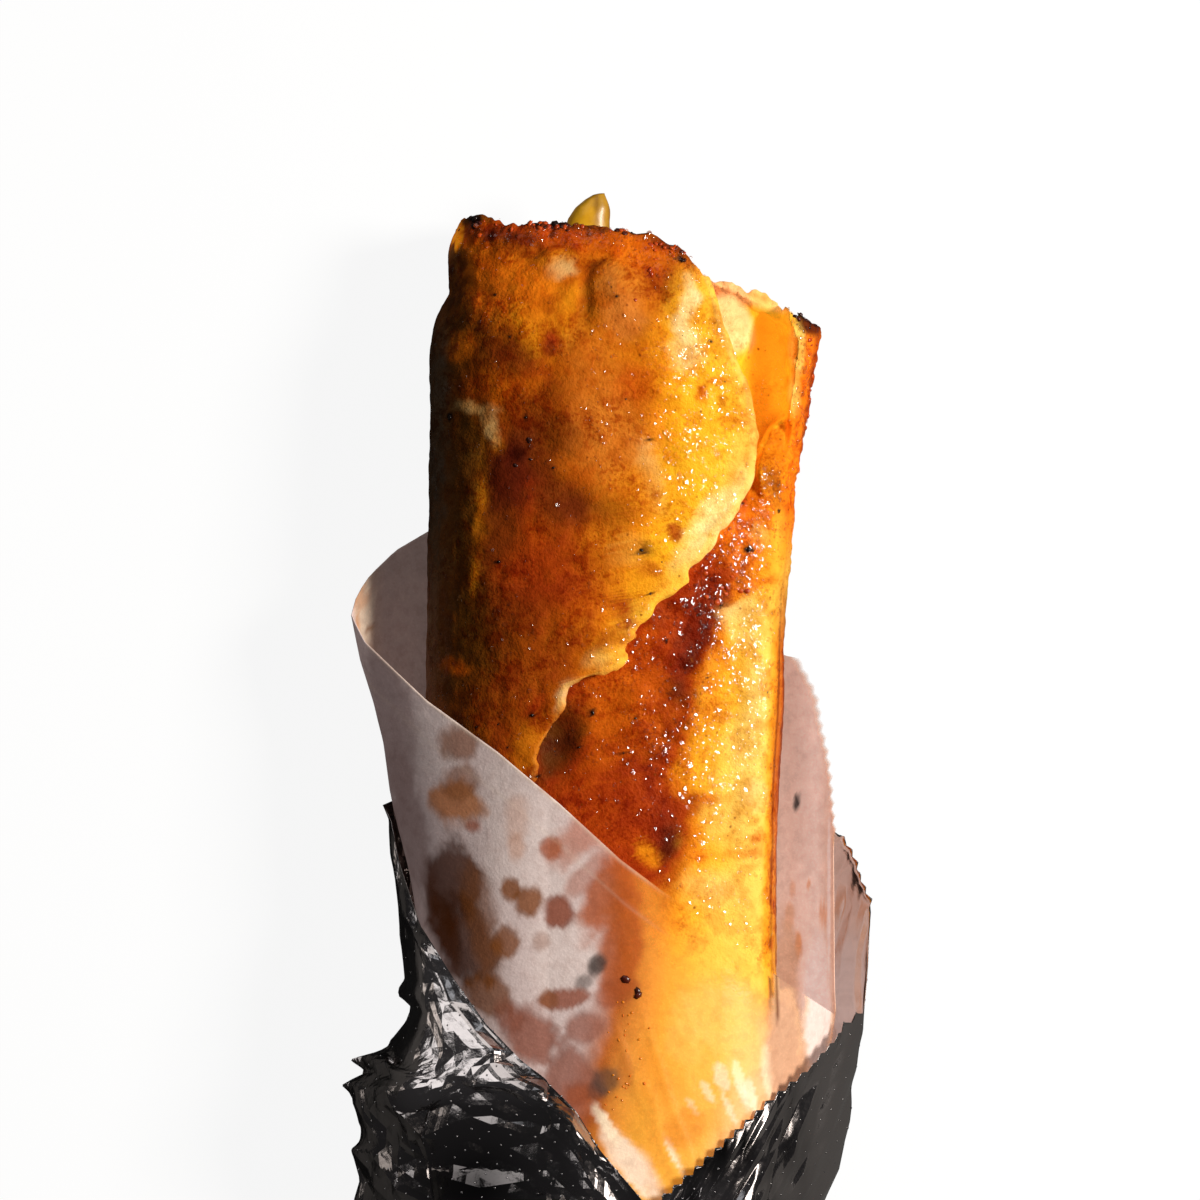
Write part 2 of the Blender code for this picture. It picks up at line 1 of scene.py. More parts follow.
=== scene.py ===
import bpy
import numpy as np
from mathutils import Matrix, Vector


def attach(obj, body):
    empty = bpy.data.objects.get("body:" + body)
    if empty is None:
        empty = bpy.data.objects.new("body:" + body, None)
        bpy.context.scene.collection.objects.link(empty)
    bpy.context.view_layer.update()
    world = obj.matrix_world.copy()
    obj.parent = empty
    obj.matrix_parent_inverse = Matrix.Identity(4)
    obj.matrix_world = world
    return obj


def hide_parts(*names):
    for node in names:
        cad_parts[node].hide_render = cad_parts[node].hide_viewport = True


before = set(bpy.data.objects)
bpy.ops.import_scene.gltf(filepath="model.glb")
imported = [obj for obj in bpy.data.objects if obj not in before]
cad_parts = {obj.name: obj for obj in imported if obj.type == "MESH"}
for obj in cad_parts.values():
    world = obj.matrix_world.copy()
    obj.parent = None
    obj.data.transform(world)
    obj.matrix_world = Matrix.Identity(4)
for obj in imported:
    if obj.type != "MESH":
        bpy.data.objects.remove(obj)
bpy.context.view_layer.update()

MM = 0.001

# ---- shared forms
# Roll: edges seen from above and heights, each as (y, value) in millimetres.
ROLL_LEFT = (
    (-108, -18), (-95, -25), (-82, -29.2), (-60, -31.3), (0, -31.9), (32.4, -32), (48.6, -32),
    (66.6, -31.7), (84.6, -31.5), (95.4, -31.3), (99.4, -30.6), (101.7, -29.7), (104.4, -28.4),
    (109.8, -28.3), (117.5, -26.5),
)
ROLL_RIGHT = (
    (-108, 16), (-95, 22), (-82, 26.6), (-70, 29.3), (-60, 30.4), (-24, 31.1), (-16, 30.6),
    (16.2, 31.1), (30.6, 31.9), (48.6, 32.4), (55.8, 33.3), (64.8, 33.7), (70.2, 34.2),
    (75.6, 35.1), (81, 36), (88.2, 37.3), (96.3, 38.7),
)
ROLL_TOP = (
    (-108, 4), (-100, 15), (-92, 26), (-84, 33), (-76, 36.3), (-60, 37.5), (-40, 38), (40, 38),
    (70, 37.6), (85, 37), (95, 35.6), (105, 33), (117, 27),
)
ROLL_LOW = (
    (-92, 2.1), (61, 2.1), (78, -0.6), (100, -0.6), (108, 1.2), (117, 4.5),
)
# Share of the roll's height where it is widest, and the powers of its superellipses.
MIDDLE_SHARE = 0.48
POWER_LEFT = 2.3
POWER_RIGHT = 3.2
POWER_UNDER = 3.2
# Closed end: its y, how far from it the rounding starts, and its size; then the sizes of
# the last rings before the lip.
ROLL_END_Y = -82.0
END_ROUND = 20.0
END_SCALE = 0.52
LIP_SCALES = (0.999, 0.996, 0.991, 0.984, 0.97)
# Mouth's edge: y by width share; rings above the blend height are stretched to it.
MOUTH_Y = (
    (0, 116.6), (0.05, 117.5), (0.13, 116.3), (0.2, 115.2), (0.3, 115.9), (0.43, 114.8),
    (0.54, 113.4), (0.63, 111.4), (0.69, 106.8), (0.79, 104.9), (0.9, 101.2), (1, 97.6),
)
MOUTH_FULL_Y = 117.0
MOUTH_BLEND_Y = 60.0
# Flap: free edge as (y, x), then thickness, undercut of its rim and gap below it by y,
# the width shares its edge keeps to, the turn where the rim is undercut, the room before
# the rim, and the width shares over which the layer below settles.
FLAP_EDGE = (
    (-19.8, -31.5), (-9, -26), (3.6, -18.9), (12, -13.2), (17, -12.2), (22, -10.6), (25, -9.6),
    (28.5, -7.6), (31, -6.4), (33.2, -5.6), (34.4, -3.8), (35.6, -0.4), (36.8, 1.8), (38.4, 2.9),
    (40.5, 3.7), (43.5, 5.7), (46.5, 7.7), (48.2, 9.1), (49.4, 11.6), (50.6, 13.7), (52, 14.7),
    (53.6, 14.9), (54.6, 15.3), (56, 17), (58.6, 18.9), (61.2, 20.1), (62.6, 21.5), (64.6, 23.3),
    (67, 24.5), (69, 25.7), (72, 26.6), (79, 26.8), (84.6, 26.1), (87.5, 25.2), (89.8, 23.9),
    (93.2, 22.7), (97, 21.4), (103.3, 19.6), (109.1, 16.9),
)
FLAP_THICK = ((-24, 0.4), (0, 1.8), (20, 2.2), (117, 2.2))
FLAP_UNDERCUT = ((-24, 0.9), (0, 1.6), (20, 2.4), (117, 2.4))
FLAP_GAP = ((-24, 0.3), (10, 0.5), (24, 0.9), (40, 0.6), (117, 0.7))
FLAP_SHARES = (0.09, 0.95)
RIM_UNDER_TURN = 2.6
RIM_ROOM = 0.4
SETTLE_SHARES = (0.06, 0.3)
# Open fold: depth by y; tongue as x, y, radii, height; inner sheet and right wall as
# (y, x), rim as (x, y), and how high the sheet and the rim stand in it.
POCKET_DEPTH = ((66, 0), (72, 4.5), (80, 8.5), (90, 11), (117, 12.5))
TONGUE = (34.0, 71.0, 7.0, 11.5, 5.0)
INNER_SHEET = ((88, 22.4), (90, 23.7), (93, 24.9), (98.9, 26.9), (101, 29))
RIM_LINE = (
    (17, 105.6), (19.4, 104.6), (23.8, 102.8), (26.5, 100.6), (28, 99.7), (31, 98.6), (34, 97),
)
INNER_SHEET_HIGH = 5.5
RIM_HIGH = 6.5
POCKET_NEAR = 2.5
POCKET_WALL = ((66, 31.6), (75, 33), (84, 33.2), (94, 33.8), (99, 33))
# Recess in the mouth: a lens given by its middle and half sizes in x and z, and the y
# of its floor and mouth. Right of the sunk x, the lip is drawn down to the sunk z.
RECESS_CENTRE = (-4.0, 15.8)
RECESS_HALF = (19.5, 7.8)
RECESS_FLOOR_Y = 103.0
RECESS_MOUTH_Y = 115.0
SUNK_X = 17.0
SUNK_Z = 14.0


def smooth_table(pairs, at):
    """Values of a (position, value) list: a cubic between neighbours whose slope at
    each point is the harmonic mean of the slopes on its two sides, so that it never
    swings past a value."""
    t, v = np.array(pairs, float).T
    rise = np.diff(v) / np.diff(t)
    slope = np.concatenate([rise[:1], np.zeros(len(t) - 2), rise[-1:]])
    same = rise[:-1] * rise[1:] > 0
    total = np.where(same, rise[:-1] + rise[1:], 1)
    slope[1:-1] = np.where(same, 2 * rise[:-1] * rise[1:] / total, 0)
    at = np.clip(at, t[0], t[-1])
    k = np.clip(np.searchsorted(t, at) - 1, 0, len(t) - 2)
    h = t[k + 1] - t[k]
    u = (at - t[k]) / h
    start = (1 + 2 * u) * (1 - u) ** 2 * v[k] + u * (1 - u) ** 2 * h * slope[k]
    end = u * u * (3 - 2 * u) * v[k + 1] - u * u * (1 - u) * h * slope[k + 1]
    return start + end


def straight_table(pairs, at):
    """Straight-line values of a (position, value) list."""
    positions, values = np.array(pairs, float).T
    return np.interp(at, positions, values)


def ease(value, start, end):
    """Smooth step 3s^2 - 2s^3 from 0 at start to 1 at end."""
    share = np.clip((value - start) / (end - start), 0, 1)
    return share * share * (3 - 2 * share)


def arch(share, power):
    """Height of a superellipse at a width share: (1 - |share|^power)^(1/power)."""
    inner = np.clip(np.abs(share), 0, 1)
    return (1 - inner**power) ** (1 / power)


def bell(distance, reach):
    """exp(-(distance / reach)^2)."""
    return np.exp(-((distance / reach) ** 2))


def spot_distance(x, y, at_x, at_y, wide, tall, turn=0):
    """Distance from a spot's middle, counted in its two radii, which are turned by an
    angle in degrees: 1 on the ellipse round it."""
    c, s = np.cos(np.radians(turn)), np.sin(np.radians(turn))
    along, across = (x - at_x) * c + (y - at_y) * s, (y - at_y) * c - (x - at_x) * s
    return np.hypot(along / wide, across / tall)


def lattice(points, seed):
    """Random values from -1 to 1 on a unit cube lattice, joined by smooth steps."""
    values = np.random.default_rng(seed).random((32, 32, 32)) * 2 - 1
    base = np.floor(points).astype(int)
    share = points - base
    share = share * share * (3 - 2 * share)
    total = np.zeros(points.shape[:-1])
    for corner in range(8):
        step = np.array([corner & 1, corner >> 1 & 1, corner >> 2 & 1])
        at = (base + step) % 32
        weight = np.where(step, share, 1 - share).prod(axis=-1)
        total += weight * values[at[..., 0], at[..., 1], at[..., 2]]
    return total


def clouds(points, size, seed, octaves=3):
    """Sum of lattices, each half the size and half the weight of the one before."""
    total, weight = 0, 0
    for k in range(octaves):
        share = 0.5**k
        total = total + share * lattice(points / (size * share) + 7.3 * k, seed + k)
        weight += share
    return total / weight


def srgb(red, green, blue):
    """Linear colour of a 0 to 255 screen colour."""
    value = np.array([red, green, blue]) / 255
    return np.where(value <= 0.04045, value / 12.92, ((value + 0.055) / 1.055) ** 2.4)


def roll_frame(y):
    """Centre x, half width, middle z, rise above it and fall below it at y."""
    left, right = smooth_table(ROLL_LEFT, y), smooth_table(ROLL_RIGHT, y)
    low, top = smooth_table(ROLL_LOW, y), smooth_table(ROLL_TOP, y)
    middle = low + MIDDLE_SHARE * (top - low)
    return (left + right) / 2, (right - left) / 2, middle, top - middle, middle - low


def grid_normals(grid, closed=True):
    """Unit normals of a grid: the cross product of its two central differences."""
    if closed:
        across = np.roll(grid, -1, axis=1) - np.roll(grid, 1, axis=1)
    else:
        across = np.gradient(grid, axis=1)
    normal = np.cross(across, np.gradient(grid, axis=0))
    length = np.linalg.norm(normal, axis=2, keepdims=True)
    return normal / np.maximum(length, 1e-9)


def grid_faces(rows, count, closed=True, first=0, flip=False):
    """Quads between neighbouring points of a grid, as an array."""
    row, column = np.meshgrid(
        np.arange(rows - 1), np.arange(count if closed else count - 1), indexing="ij"
    )
    beside = (column + 1) % count
    here = first + row * count
    quads = np.stack(
        [here + column, here + beside, here + count + beside, here + count + column],
        axis=-1,
    ).reshape(-1, 4)
    return quads[:, [0, 3, 2, 1]] if flip else quads


def build_mesh(name, points, quads, node, tones, masks=(), smooth=True):
    """Object from millimetre points and quads, with point attributes."""
    data = bpy.data.meshes.new(name)
    data.vertices.add(len(points))
    data.vertices.foreach_set("co", (points * MM).astype(np.float32).ravel())
    data.loops.add(quads.size)
    data.loops.foreach_set("vertex_index", quads.astype(np.int32).ravel())
    data.polygons.add(len(quads))
    data.polygons.foreach_set("loop_start", np.arange(0, quads.size, quads.shape[1]))
    data.update(calc_edges=True)
    data.validate()
    data.polygons.foreach_set("use_smooth", np.full(len(data.polygons), smooth))
    layer = data.color_attributes.new("tone", "FLOAT_COLOR", "POINT")
    four = np.concatenate([tones, np.ones((len(tones), 1))], axis=1)
    layer.data.foreach_set("color", four.astype(np.float32).ravel())
    for label, values in dict(masks).items():
        layer = data.attributes.new(label, "FLOAT", "POINT")
        layer.data.foreach_set("value", values.astype(np.float32).ravel())
    item = bpy.data.objects.new(name, data)
    bpy.context.scene.collection.objects.link(item)
    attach(item, "root")
    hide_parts(node)
    return item


# ---- roll of flatbread
# Parts of a ring: the flap, its rim, the layer below it and the underside; then the
# points of each, and the runs of rings as first y, last y, count.
FLAP, RIM, UNDER, BELOW = range(4)
FLAP_POINTS = 108
RIM_POINTS = 9
UNDER_POINTS = 96
BELOW_POINTS = 56
RING_RUNS = ((ROLL_END_Y, -30, 26), (-30, 116, 284))


def mouth_stretch(level, share):
    """y on a ring: above the blend height, the height over it is scaled by how far
    the mouth's edge reaches at this width share."""
    reach = smooth_table(MOUTH_Y, share) - MOUTH_BLEND_Y
    reach = reach / (MOUTH_FULL_Y - MOUTH_BLEND_Y)
    above = np.maximum(level - MOUTH_BLEND_Y, 0)
    return np.minimum(level, MOUTH_BLEND_Y) + above * reach


def ring_levels():
    """Nominal y of every ring."""
    runs = [np.linspace(*run, endpoint=False) for run in RING_RUNS]
    return np.concatenate([*runs, np.linspace(116, MOUTH_FULL_Y, 5)])


def edge_wobble(y):
    """Ragged line of the flap's edge: two clouds along y, weaker past its notch."""
    spot = np.stack([y, 0 * y, 0 * y], axis=-1)
    low = 1 - 0.82 * ease(y, 50, 60)
    return low * (0.6 * clouds(spot, 4.3, 21, 2) + 0.6 * clouds(spot, 1.2, 23, 1))


def flap_share(levels):
    """Width share of the flap's free edge on every ring, found by repetition."""
    share = np.full(levels.shape, 0.6)
    for _ in range(14):
        y = mouth_stretch(levels, share)
        centre, half = roll_frame(y)[:2]
        edge = smooth_table(FLAP_EDGE, y) + edge_wobble(y) * ease(y, -10, 5)
        share = np.clip(((edge - centre) / half + 1) / 2, *FLAP_SHARES)
    return share


def angle_of(width):
    """Superellipse angle at a width share from -1 to 1, on the front."""
    power = np.where(width < 0, POWER_LEFT, POWER_RIGHT)
    return np.arccos(np.sign(width) * np.abs(width) ** (power / 2))


def front_width(angle):
    """Width share sign(cos) |cos|^(2/power) at an angle of the front."""
    power = np.where(np.cos(angle) < 0, POWER_LEFT, POWER_RIGHT)
    return np.sign(np.cos(angle)) * np.abs(np.cos(angle)) ** (2 / power)


def pocket_depth(x, y, start):
    """Depth of the open fold: a table along y, opened by a smooth step at the flap
    and closed by a wavy one at the right wall, less the heights of the tongue (an
    ellipse), of the inner sheet (left of a line) and of the rim (past a line)."""
    opened = ease(x, start, start + POCKET_NEAR)
    wave = 0.5 * np.sin(y / 3.1) + 0.35 * np.sin(y / 1.3 + 1)
    wall = 1 - ease(x + 0.5 * wave - smooth_table(POCKET_WALL, y), -1.3, 0.3)
    *tongue_spot, high = TONGUE
    tongue = high * ease(1 - spot_distance(x, y, *tongue_spot), 0, 0.1)
    line = straight_table(INNER_SHEET, y)
    sheet = INNER_SHEET_HIGH * (1 - ease(x - line, -0.4, 0.9)) * ease(y, 86, 90)
    rim = RIM_HIGH * ease(y - straight_table(RIM_LINE, x), -0.3, 0.6)
    depth = smooth_table(POCKET_DEPTH, y)
    raised = np.maximum(np.maximum(tongue * ease(y, 66, 72), sheet), rim)
    return np.maximum(depth - raised, 0) * opened * wall


def front_part(levels, width, drop, under=False):
    """Front points at width shares: x = centre + half * width and
    z = middle + rise * arch(width) - drop, less the open fold."""
    y = mouth_stretch(levels[:, None], (width + 1) / 2)
    centre, half, middle, rise, _ = roll_frame(y)
    power = np.where(width < 0, POWER_LEFT, POWER_RIGHT)
    x = centre + half * width
    z = middle + rise * arch(width, power) - drop
    if under:
        z -= pocket_depth(x, y, x[:, :1])
    return np.stack([x, y, z], axis=2)


def below_part(levels):
    """Underside points of the lower superellipse, kept off the floor."""
    angle = np.linspace(0, -np.pi, BELOW_POINTS + 2)[1:-1][None, :]
    width = np.sign(np.cos(angle)) * np.abs(np.cos(angle)) ** (2 / POWER_UNDER)
    width = width + 0 * levels[:, None]
    y = mouth_stretch(levels[:, None], (width + 1) / 2)
    centre, half, middle, _, fall = roll_frame(y)
    z = np.maximum(middle - fall * arch(width, POWER_UNDER), 0)
    return np.stack([centre + half * width, y, z], axis=2)


def roll_rings():
    """Rings of the roll, each over the flap, round its rim, over the layer below it
    and back along the underside."""
    levels = ring_levels()
    edge = 2 * flap_share(levels) - 1
    at_edge = mouth_stretch(levels, (edge + 1) / 2)
    half = roll_frame(at_edge)[1]
    thick = smooth_table(FLAP_THICK, at_edge)
    cut = smooth_table(FLAP_UNDERCUT, at_edge)
    gap = smooth_table(FLAP_GAP, at_edge)
    turn = np.linspace(0, np.pi, RIM_POINTS)[None, :]
    inward = (1 - np.sin(turn)) * 0.5 * thick[:, None]
    inward = np.where(turn > RIM_UNDER_TURN, cut[:, None], inward)
    drops = (1 - np.cos(turn)) / 2 * thick[:, None]
    rim = edge[:, None] - inward / half[:, None]
    first = angle_of(rim[:, 0] - RIM_ROOM / half)
    flap = front_width(np.linspace(np.pi, first, FLAP_POINTS).T)
    under = front_width(np.linspace(angle_of(rim[:, -1]), 0, UNDER_POINTS).T)
    settled = ease(1 - under, *SETTLE_SHARES)
    return np.concatenate([
        front_part(levels, flap, 0),
        front_part(levels, rim, drops),
        front_part(levels, under, (thick + gap)[:, None] * settled, under=True),
        below_part(levels),
    ], axis=1)


def round_end(rings):
    """Draw the rings of the closed end in towards their middles on a quarter circle,
    and the last rings before the lip by their own sizes."""
    level = rings[:, :, 1].mean(axis=1)
    tail = np.clip((ROLL_END_Y + END_ROUND - level) / END_ROUND, 0, 1)
    scale = 1 - (1 - END_SCALE) * (1 - np.sqrt(1 - tail**2))
    scale[-len(LIP_SCALES):] = LIP_SCALES
    middle = rings.mean(axis=1, keepdims=True)
    drawn = middle + (rings - middle) * scale[:, None, None]
    drawn[:, :, 1] = rings[:, :, 1]
    return drawn


# Clouds of the crust's relief: size, height, seed, octaves.
CRUST_CLOUDS = ((13, 0.45, 3, 3), (4.5, 0.32, 5, 3), (1.7, 0.16, 9, 2))
# Blisters and dents of the front: x, y, radius across, radius along, height.
BLISTERS = (
    (2.6, 103.6, 4.2, 5.4, 1.4), (-3.4, 102.6, 1.1, 4.6, -0.7), (-0.6, 109.6, 3, 1, -0.5),
    (-9.2, 107.6, 3.2, 2.6, 0.7), (-15, 99, 4, 7, 0.5), (-20, 92, 5, 5, 0.6), (12, 90, 5, 9, 0.7),
    (17, 74, 6, 7, 0.6), (-24, 64, 4, 8, 0.5), (6, 66, 6, 8, 0.5), (-7, 84, 3, 6, 0.4),
    (-12, 77, 3, 3, -0.5), (-4, 45, 8, 5, 0.5), (26, 32, 4, 9, 0.6), (18, 26, 5, 4, 0.5),
    (-8, 23.5, 3.4, 5, -1.5), (6, 30, 4, 5, 0.5), (15, 41, 3, 5, -0.4), (24, 58, 3.5, 5, 0.6),
    (4, 14, 5, 6, 0.4), (24, 12, 5, 7, 0.5),
)


def under_paper(x, y):
    """1 where the front paper covers the roll, 0 above its free edge."""
    return ease(straight_table(PAPER_FRONT_EDGE, x) - y, -1, 4)


def bright_bread(x, y, part):
    """1 on the untoasted bread: right of the flap's bright line and of the layer
    below's toasted band."""
    flap = ease(x - smooth_table(FLAP_LINE, y), -3, 5) * (part < UNDER)
    under = ease(x - smooth_table(UNDER_LINE, y), 0, 4) * (1 - ease(x, 28, 30)) * (part == UNDER)
    return np.maximum(flap, under)


def roll_relief(points, front, part):
    """Height along the normal in mm: the crust's clouds, calmer where the bread is
    bright, grains in the toasted band, lumps along the flap's edge, soft dents beside
    its bright line, grains on the right wall, long dry wrinkles on the left side, a bell
    for every blister and fleck, and grains along the mouth."""
    x, y = points[..., 0], points[..., 1]
    relief = sum(high * clouds(points, size, seed, k) for size, high, seed, k in CRUST_CLOUDS)
    relief *= 1 - 0.45 * bright_bread(x, y, part)
    past = x - smooth_table(UNDER_LINE, y)
    grains = ease(past, -16, -9) * (1 - ease(past, -2, 2)) * ease(y, 8, 20)
    grains = np.maximum(grains, 0.8 * ease(x, 22, 27) * ease(y, 48, 56))
    relief += 0.42 * clouds(points, 1.5, 19, 2) * grains * (part == UNDER)
    inside = smooth_table(FLAP_EDGE, y) - x
    lumps = bell(inside, 3.4) * (part < UNDER) * ease(y, 22, 32) * (1 - ease(y, 76, 84))
    relief += (0.75 * clouds(points, 2.7, 25, 2) + 0.3) * lumps
    bright = ease(x, 4, 10) * (part == FLAP) * ease(y, 50, 60)
    relief += 0.3 * clouds(points, 3.4, 27, 2) * bright
    wall = ease(x, 32, 34) * ease(y, 62, 70)
    relief += 0.6 * clouds(points, 2.0, 29, 2) * wall * front
    streaks = clouds(points * np.array([1, 0.16, 1]), 2.2, 13, 2)
    relief += 0.25 * streaks * ease(-x, 22, 29) * front
    for *spot, height in BLISTERS:
        relief += front * height * bell(spot_distance(x, y, *spot), 1)
    edge = ease(y, 109, 113) * front
    relief += (0.55 * clouds(points, 1.7, 17, 2) + 0.2) * edge
    for fleck in CHAR_FLECKS:
        relief += 0.3 * min(fleck[2:]) * front * bell(spot_distance(x, y, *fleck), 0.9)
    return relief * (1 - (0.8 - 0.3 * ease(x, 4, 14)) * under_paper(x, y) * front)


# Colours of the crust; 'shade' is painted shade, laid where shade falls, and 'white' is a painted
# sheen of oil.
CRUST = {
    "char": srgb(24, 8, 4), "burnt": srgb(84, 22, 4), "umber": srgb(120, 48, 5),
    "shade": srgb(62, 34, 6), "rust": srgb(164, 50, 6), "toast": srgb(160, 68, 6),
    "tan": srgb(214, 120, 42), "glow": srgb(226, 132, 18), "gold": srgb(252, 152, 22),
    "orange": srgb(226, 106, 12), "cream": srgb(244, 194, 90), "pale": srgb(226, 178, 110),
    "white": srgb(250, 218, 146), "garnet": srgb(124, 28, 10), "blaze": srgb(255, 122, 22),
    "toastgold": srgb(206, 92, 10), "ember": srgb(204, 78, 8), "deep": srgb(240, 172, 34),
    "milk": srgb(240, 188, 122), "tongue": srgb(200, 108, 12), "sun": srgb(252, 182, 40),
    "flare": srgb(250, 126, 18), "ash": srgb(96, 78, 60), "butter": srgb(252, 214, 128),
}
# Flap colours left of its bright zone by x, and right of it by distance past the line.
FLAP_LEFT_TONES = (
    (-33, (118, 88, 62)), (-29, (136, 82, 38)), (-26, (108, 62, 18)), (-22, (124, 68, 12)),
    (-18, (156, 68, 8)), (-13, (160, 68, 6)), (-9, (184, 88, 8)), (-5, (200, 98, 10)),
    (0, (220, 118, 20)), (8, (228, 122, 20)),
)
FLAP_RIGHT_TONES = (
    (-4, (216, 112, 16)), (0, (242, 140, 20)), (4, (252, 172, 28)), (9, (252, 180, 34)),
    (16, (252, 182, 40)),
)
# Left edges of the bright bread on the flap and on the layer below, as (y, x).
FLAP_LINE = (
    (36, -2), (40, -1.5), (45, 0), (50, 2), (55, 4), (60, 5), (66, 6), (72, 7), (80, 8), (90, 8),
    (98, 10), (105, 13), (110, 17), (116, 21),
)
UNDER_LINE = (
    (-20, 7), (-3, 12), (3, 14.5), (11, 14.9), (17, 12.6), (25, 14.9), (30, 16.7), (39, 18.6),
    (47, 21), (54, 24), (60, 25.6), (68, 26),
)
# Colours of the layer below by distance past its line, and of its narrow right side.
UNDER_TONES = (
    (-34, (130, 60, 12)), (-20, (172, 62, 8)), (-9, (174, 58, 8)), (-4, (150, 42, 8)),
    (-1, (182, 66, 8)), (1, (238, 134, 22)), (3, (247, 158, 30)), (6, (250, 180, 50)),
    (9, (253, 198, 80)), (14, (254, 204, 92)),
)
SIDE_TONES = (
    (28, (250, 190, 66)), (29.2, (246, 170, 44)), (30, (230, 132, 26)), (30.4, (140, 54, 10)),
    (30.7, (216, 112, 30)), (31.2, (196, 90, 22)), (31.5, (130, 50, 12)), (31.9, (170, 76, 22)),
)
